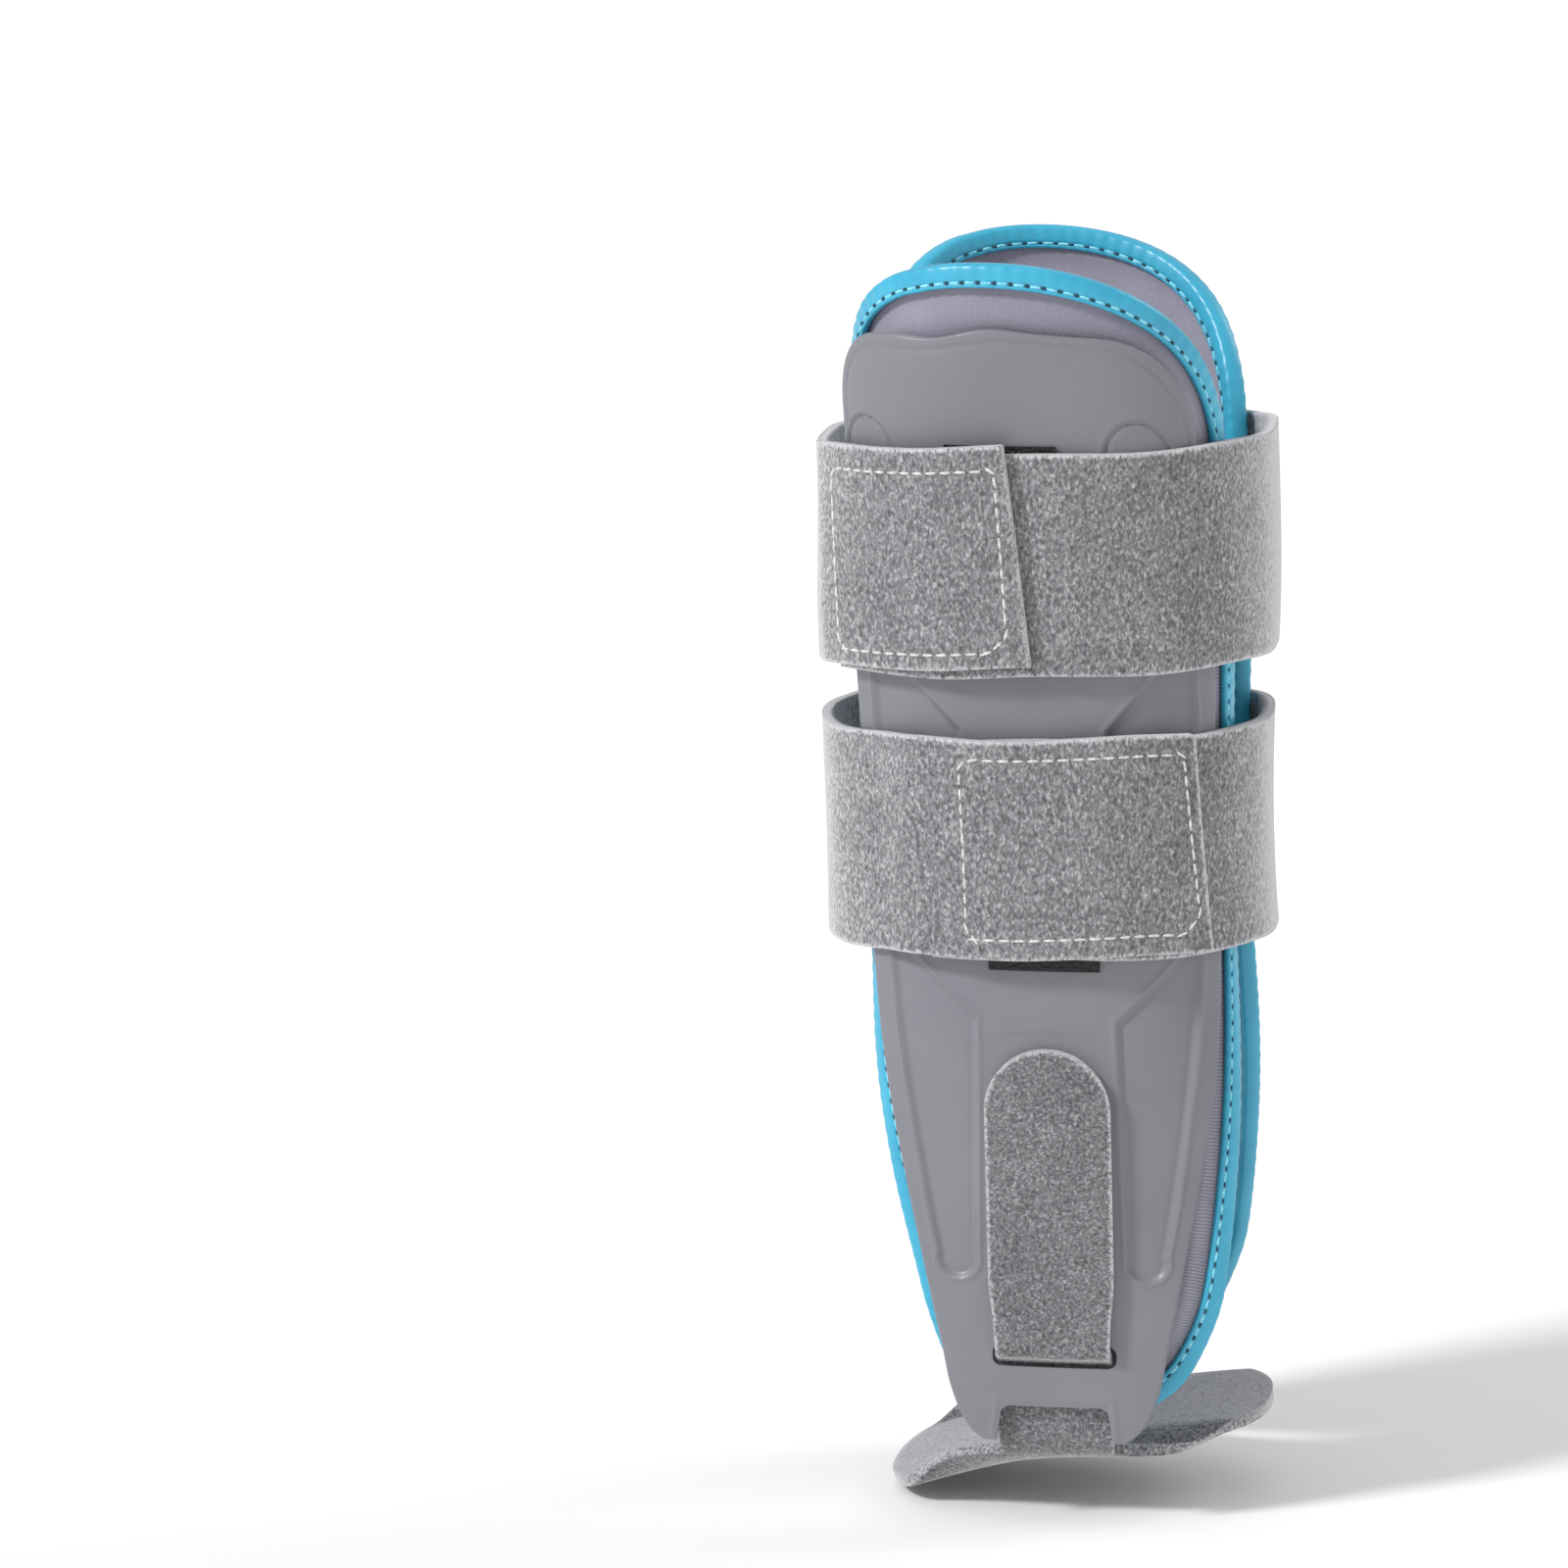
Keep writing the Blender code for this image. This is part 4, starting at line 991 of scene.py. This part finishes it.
class Strap:
    """One band from its hidden start, rearwards round both shells, to its end over the start."""

    def __init__(self, sizes):
        self.sizes = sizes
        self.total = float(form.total(sizes["height"]))
        self.end = sizes["end"] + self.total
        self.start = sizes["end"] - sizes["overlap"]

    def place(self, along, edge, outwards=0.0, wavy=True):
        """Points on the strap's inner face moved outwards; edge runs from -0.5 below to 0.5 above."""
        sizes, total = self.sizes, self.total
        slanted = along - sizes["slant"] * edge * 2 * smooth(self.end - SLANT_FADE, self.end, along)
        section = form_section(sizes["height"])
        middle, _ = form.lay(np.full_like(along, sizes["height"]), slanted, 0.0)
        wave = 0.35 * MM * np.sin(slanted * 2 * math.pi / 0.047 + 1.3) * np.abs(edge) * 2 if wavy else 0.0
        height = (sizes["height"] + STRAP_WIDTH * edge + wave
                  + sizes["tilt"] * (middle[..., 0] - float(section["centre"]))
                  + sizes["climb"] * smooth(self.end - CLIMB_FADE, self.end, slanted))
        height_total = form.total(height)
        scaled = slanted / total * height_total
        over = smooth(self.start + total - STEP_LENGTH, self.start + total - STEP_SHORT, slanted)
        folded = (scaled + height_total / 2) % height_total - height_total / 2
        lift = strap_lift(folded, height_total, sizes["patch"]) + (STRAP_THICK + LAYER_GAP) * over
        return form.lay(height, scaled, lift + outwards)


def edge_fringe(distance):
    """A chart whose first coordinate is 1 at a cut edge and 0 a millimetre in from it: the mask of the pile's
    painted highlight on the fuzz there.
    """
    return np.stack([1 - smooth(0.1 * MM, 1.1 * MM, distance), 0 * distance], axis=-1)


def groove(along, edge, seams):
    """How far the pile is pulled down along a seam's line, in the strap's own plane."""
    depth = np.zeros_like(along)
    for seam in seams:
        near = line_distance(along, edge * STRAP_WIDTH, seam)
        depth = np.maximum(depth, np.exp(-(near / (0.9 * MM))**2))
    return depth


STRAP_ROWS = 54
STRAP_SPACING = 0.95 * MM
SEAM_PITCH, SEAM_STITCH, SEAM_THREAD = 3.4 * MM, 3.0 * MM, 0.33 * MM


def make_strap(name, sizes, seam, pile, sewing, node):
    strap = Strap(sizes)
    count = int((strap.end - strap.start) / STRAP_SPACING)
    along = np.linspace(strap.start, strap.end, count)[None, :] + np.zeros((STRAP_ROWS, 1))
    edge = np.linspace(-0.5, 0.5, STRAP_ROWS)[:, None] + np.zeros((1, count))
    outer, _ = strap.place(along, edge)
    rim = np.minimum((0.5 - np.abs(edge)) * STRAP_WIDTH, strap.end - along)
    band = grid_object(name, outer, border=edge_fringe(rim))
    wall = band.modifiers.new("Wall", "SOLIDIFY")
    wall.thickness = STRAP_THICK
    wall.offset = 1
    settle(band)
    places = np.empty(len(band.data.vertices) * 3)
    band.data.vertices.foreach_get("co", places)
    places = places.reshape(-1, 3)
    flat = along.size
    sunk = groove(along, edge, [seam])
    rng = np.random.default_rng(7)
    nap = rng.normal(0, 0.05 * MM, along.shape)
    _, normal = strap.place(along, edge)
    border = np.minimum(0.5 - np.abs(edge), 1.0) * STRAP_WIDTH
    roll = 0.55 * MM * (1 - smooth(0, 1.6 * MM, border))
    places[flat:2 * flat] -= (normal * (0.40 * MM * sunk + nap + roll)[..., None]).reshape(-1, 3)
    band.data.vertices.foreach_set("co", places.ravel())
    band.data.update()
    dress(band, pile, "loop_pile", node)
    path = np.array(seam)
    dense = []
    for first, second in zip(path, path[1:]):
        steps = max(2, int(np.hypot(*(second - first)) / (1 * MM)))
        dense += [mix(first, second, i / steps) for i in range(steps)]
    dense = np.array(dense + [path[-1]])
    line, _ = strap.place(dense[:, 0], dense[:, 1] / STRAP_WIDTH, STRAP_THICK - 0.08 * MM)
    thread = stitch_run(name + "_stitches", [line], False, sewing, SEAM_PITCH, SEAM_STITCH, SEAM_THREAD)
    dress(thread, thread.data.materials[-1], "loop_pile")


def strap_seam(strap_sizes, left, right_top, right_foot, top, foot, chamfer):
    """A sewn rectangle near the strap's end: along the strap from its end, and up from its middle."""
    total = float(form.total(strap_sizes["height"]))
    end = strap_sizes["end"] + total
    return [(end - left + chamfer, foot), (end - left, foot + chamfer), (end - left, top - chamfer),
            (end - left + chamfer, top), (end - right_top, top), (end - right_foot, foot + 2.2 * chamfer),
            (end - right_foot - 2 * chamfer, foot), (end - left + chamfer, foot)]


# Heel strap

def round_corners(corners):
    """A path through (y, z, radius) corners, each with a radius turned into an arc."""
    path = []
    for index, (y, z, radius) in enumerate(corners):
        here = np.array([y, z])
        if radius == 0:
            path.append(here)
            continue
        before = np.array(corners[index - 1][:2]) - here
        after = np.array(corners[index + 1][:2]) - here
        before /= np.hypot(*before)
        after /= np.hypot(*after)
        half = math.acos(float(np.clip(before @ after, -1, 1))) / 2
        bisector = (before + after) / np.hypot(*(before + after))
        centre = here + bisector * radius / math.sin(half)
        first = here + before * radius / math.tan(half) - centre
        last = here + after * radius / math.tan(half) - centre
        turn = math.pi - 2 * half
        sign = math.copysign(1, first[0] * last[1] - first[1] * last[0])
        steps = max(6, round(math.degrees(turn) / 6))
        for step in range(steps + 1):
            angle = sign * turn * step / steps
            path.append(centre + np.array([first[0] * math.cos(angle) - first[1] * math.sin(angle),
                                           first[0] * math.sin(angle) + first[1] * math.cos(angle)]))
    return path


# This share scales the painted highlight on the fuzz at the heel strap's cut edges, weaker on the seat.
SEAT_FRINGE = 0.35  # the seat's edge is pressed, the tab's is cut


def side_at(height):
    return float(form_section(height)["side"])


def heel_path():
    """Half of the heel strap's middle line in (y, z), from the tab's tip to the heel's middle."""
    outside = SEAT_GAP + HEEL_THICK / 2
    inside = -(SHELL_WALL + SEAT_GAP + HEEL_THICK / 2)
    drop = (outside - inside) / 2 * math.tan(FOLD_SLOPE)
    floor = -SEAT_TO_SHELL - HEEL_THICK / 2
    bend = TAB_TOP - TAB_HALF
    corners = []
    for angle in np.linspace(86, 0, 18):
        height = bend + TAB_HALF * math.sin(math.radians(angle))
        corners.append((-side_at(height) - outside, height, 0))
    for height in np.linspace(bend, SLOT_HEIGHT + FOLD_CLEAR, 46)[1:-1]:
        corners.append((-side_at(height) - outside, height, 0))
    corners.append((-side_at(SLOT_HEIGHT) - outside, SLOT_HEIGHT + drop, FOLD_RADIUS))
    corners.append((-side_at(SLOT_HEIGHT) - inside, SLOT_HEIGHT - drop, FOLD_RADIUS))
    for height in np.linspace(SLOT_HEIGHT - 3.6 * MM, NOTCH_TOP, 8):
        corners.append((-side_at(height) - inside, height, 0))
    corners.append((-side_at(0.0) - inside, floor, HEEL_BEND))
    for share in np.linspace(0.8, 0.0, 22):
        corners.append((-HEEL_SIDE * share, floor, 0))
    return round_corners(corners)


def heel_reach(y, z):
    """The heel strap's front and rear half lengths at a place on its path."""
    bend = TAB_TOP - TAB_HALF
    if z > bend:
        half = math.sqrt(max(TAB_HALF**2 - (z - bend)**2, (0.08 * TAB_HALF)**2))
        return half, half
    tab = mix(SLOT_TAB_HALF, TAB_HALF, float(smooth(SLOT_HEIGHT + 2 * FOLD_RADIUS, SLOT_HEIGHT + SLOT_FADE, z)))
    share = abs(y) / HEEL_SIDE
    if z > -SEAT_TO_SHELL + HEEL_BEND or share >= 1:
        return tab, tab
    spread = (1 - share**HEEL_ROUND)**(1 / HEEL_ROUND)
    return mix(tab, HEEL_FRONT, spread), mix(tab, HEEL_REAR, spread)


def make_heel_strap(pile):
    half = heel_path()
    path = np.array(half + [np.array([-y, z]) for y, z in reversed(half[:-1])])
    reach = np.array([heel_reach(y, z) for y, z in path])
    across = np.linspace(0, 1, 61)[None, :]
    along = mix(-reach[:, :1], reach[:, 1:], across)
    y = path[:, :1] + 0 * along
    z = path[:, 1:] + 0 * along
    section = form_section(z)
    hold = smooth(HEEL_SIDE * 0.7, HEEL_SIDE * 1.08, np.abs(y))
    share = np.minimum(np.abs(along) / np.where(along < 0, section["front"], section["rear"]), 0.95)
    bowed = section["side"] * (1 - (1 - share**FORM_SQUARENESS)**(1 / FORM_SQUARENESS)) * hold
    lift = (math.tan(HEEL_TILT) * along - HEEL_DROP * (along / HEEL_FRONT)**2) * (1 - hold)
    points = np.stack([section["centre"] + along, y - np.sign(y) * bowed, z + lift + SEAT_TO_SHELL], axis=-1)
    tip = TAB_HALF - np.hypot(along, path[:, 1:] - TAB_TOP + TAB_HALF)
    side = np.minimum(along + reach[:, :1], reach[:, 1:] - along)
    strap = grid_object("heel_stirrup_strap", points,
                        border=edge_fringe(np.where(path[:, 1:] > TAB_TOP - TAB_HALF, tip, side))
                        * mix(SEAT_FRINGE, 1.0, smooth(0.0, SLOT_HEIGHT, path[:, 1:]))[..., None])
    wall = strap.modifiers.new("Wall", "SOLIDIFY")
    wall.thickness = HEEL_THICK
    wall.offset = 0
    soft = strap.modifiers.new("Soft edge", "BEVEL")
    soft.width = 0.55 * MM
    soft.segments = 2
    soft.limit_method = "ANGLE"
    soft.angle_limit = math.radians(60)
    settle(strap)
    strap.data.polygons.foreach_set("use_smooth", np.ones(len(strap.data.polygons), dtype=bool))
    dress(strap, pile, "loop_pile", "heel_strap")


# Studio

def make_studio(floor_surface):
    back = Vector((math.sin(CAMERA_TURN) * math.cos(CAMERA_RISE),
                   -math.cos(CAMERA_TURN) * math.cos(CAMERA_RISE), math.sin(CAMERA_RISE)))
    middle = Vector((0.0, 0.0, MIDDLE_HEIGHT))
    right = Vector((0, 0, 1)).cross(back).normalized()
    up = back.cross(right)
    scale = CAMERA_AWAY / FOCAL_PIXELS
    aim = (middle - right * (MIDDLE_PIXEL[0] - IMAGE / 2) * scale + up * (MIDDLE_PIXEL[1] - IMAGE / 2) * scale)
    place = middle + back * CAMERA_AWAY
    lens = bpy.data.cameras.new("photo_camera")
    lens.sensor_width = SENSOR
    lens.lens = FOCAL_PIXELS / IMAGE * SENSOR
    lens.clip_start = 0.05
    camera = new_object("photo_camera", lens)
    camera.location = place
    camera.rotation_mode = "QUATERNION"
    camera.rotation_quaternion = (aim - place).to_track_quat("-Z", "Y")
    bpy.context.scene.camera = camera

    low = cad_box[0][2]
    sheet = bmesh.new()
    bmesh.ops.create_grid(sheet, x_segments=1, y_segments=1, size=80.0)
    mesh = bpy.data.meshes.new("paper_sweep")
    sheet.to_mesh(mesh)
    sheet.free()
    mesh.transform(Matrix.Translation((0, 0, low - 1.5 * MM)))
    floor = new_object("paper_sweep", mesh)
    floor.data.materials.append(floor_surface)

    lamps = (  # name, direction, spread in degrees, strength
        ("key_window", (-0.80, -0.70, 0.95), 10, 2.3),
        ("rim_window", (0.9, 0.5, 0.8), 30, 0.7),
    )
    for name, spot, spread, strength in lamps:
        light = bpy.data.lights.new(name, "SUN")
        light.angle = math.radians(spread)
        light.energy = strength
        lamp = new_object(name, light)
        lamp.location = spot
        lamp.rotation_mode = "QUATERNION"
        lamp.rotation_quaternion = (middle - Vector(spot)).to_track_quat("-Z", "Y")
    world = bpy.data.worlds.new("studio")
    world.use_nodes = True
    world.node_tree.nodes["Background"].inputs["Color"].default_value = linear("ffffff")
    world.node_tree.nodes["Background"].inputs["Strength"].default_value = 0.60
    bpy.context.scene.world = world
    bpy.context.scene.view_settings.view_transform = "Standard"


def build():
    plastic = moulded_polypropylene()
    knit = ribbed_knit()
    tape = coated_tape()
    # The palest tone of each pile is reached through its painted sheen and painted edge highlight.
    strap_pile = loop_pile("brushed_loop_pile_strap", 1.6, ("58585b", "727275", "8c8c8f", "cacacd"))
    tab_pile = loop_pile("brushed_loop_pile_heel", 1.0, ("4f4f52", "69696c", "808083", "bababd"))
    white = stitch_tree(twisted_thread("off_white_thread", "e4e4e1", "b4b4b2"))
    blue = stitch_tree(twisted_thread("pale_blue_thread", "9ce4f5", "5cc4de"))
    # Painted shade for the needle holes in the binding.
    dark = stitch_tree(twisted_thread("needle_hole_shade", "0f4a60", "0a3646"))
    make_shells(plastic)
    make_pads(knit)
    make_bindings(tape, blue, dark)
    upper_seam = strap_seam(UPPER_STRAP, 44.0 * MM, 2.6 * MM, 4.4 * MM, 19.4 * MM, -21.6 * MM, 1.8 * MM)
    lower_seam = strap_seam(LOWER_STRAP, 51.0 * MM, 3.0 * MM, 2.4 * MM, 20.5 * MM, -20.5 * MM, 1.8 * MM)
    make_strap("upper_wrap_strap", UPPER_STRAP, upper_seam, strap_pile, white, "upper_strap")
    make_strap("lower_wrap_strap", LOWER_STRAP, lower_seam, strap_pile, white, "lower_strap")
    make_heel_strap(tab_pile)
    hooks = hook_tape()
    for node in ("lateral_upper_patch", "lateral_lower_patch", "medial_upper_patch", "medial_lower_patch"):
        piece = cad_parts[node]
        piece.data.materials.clear()
        piece.data.materials.append(hooks)
    make_studio(studio_floor())


build()
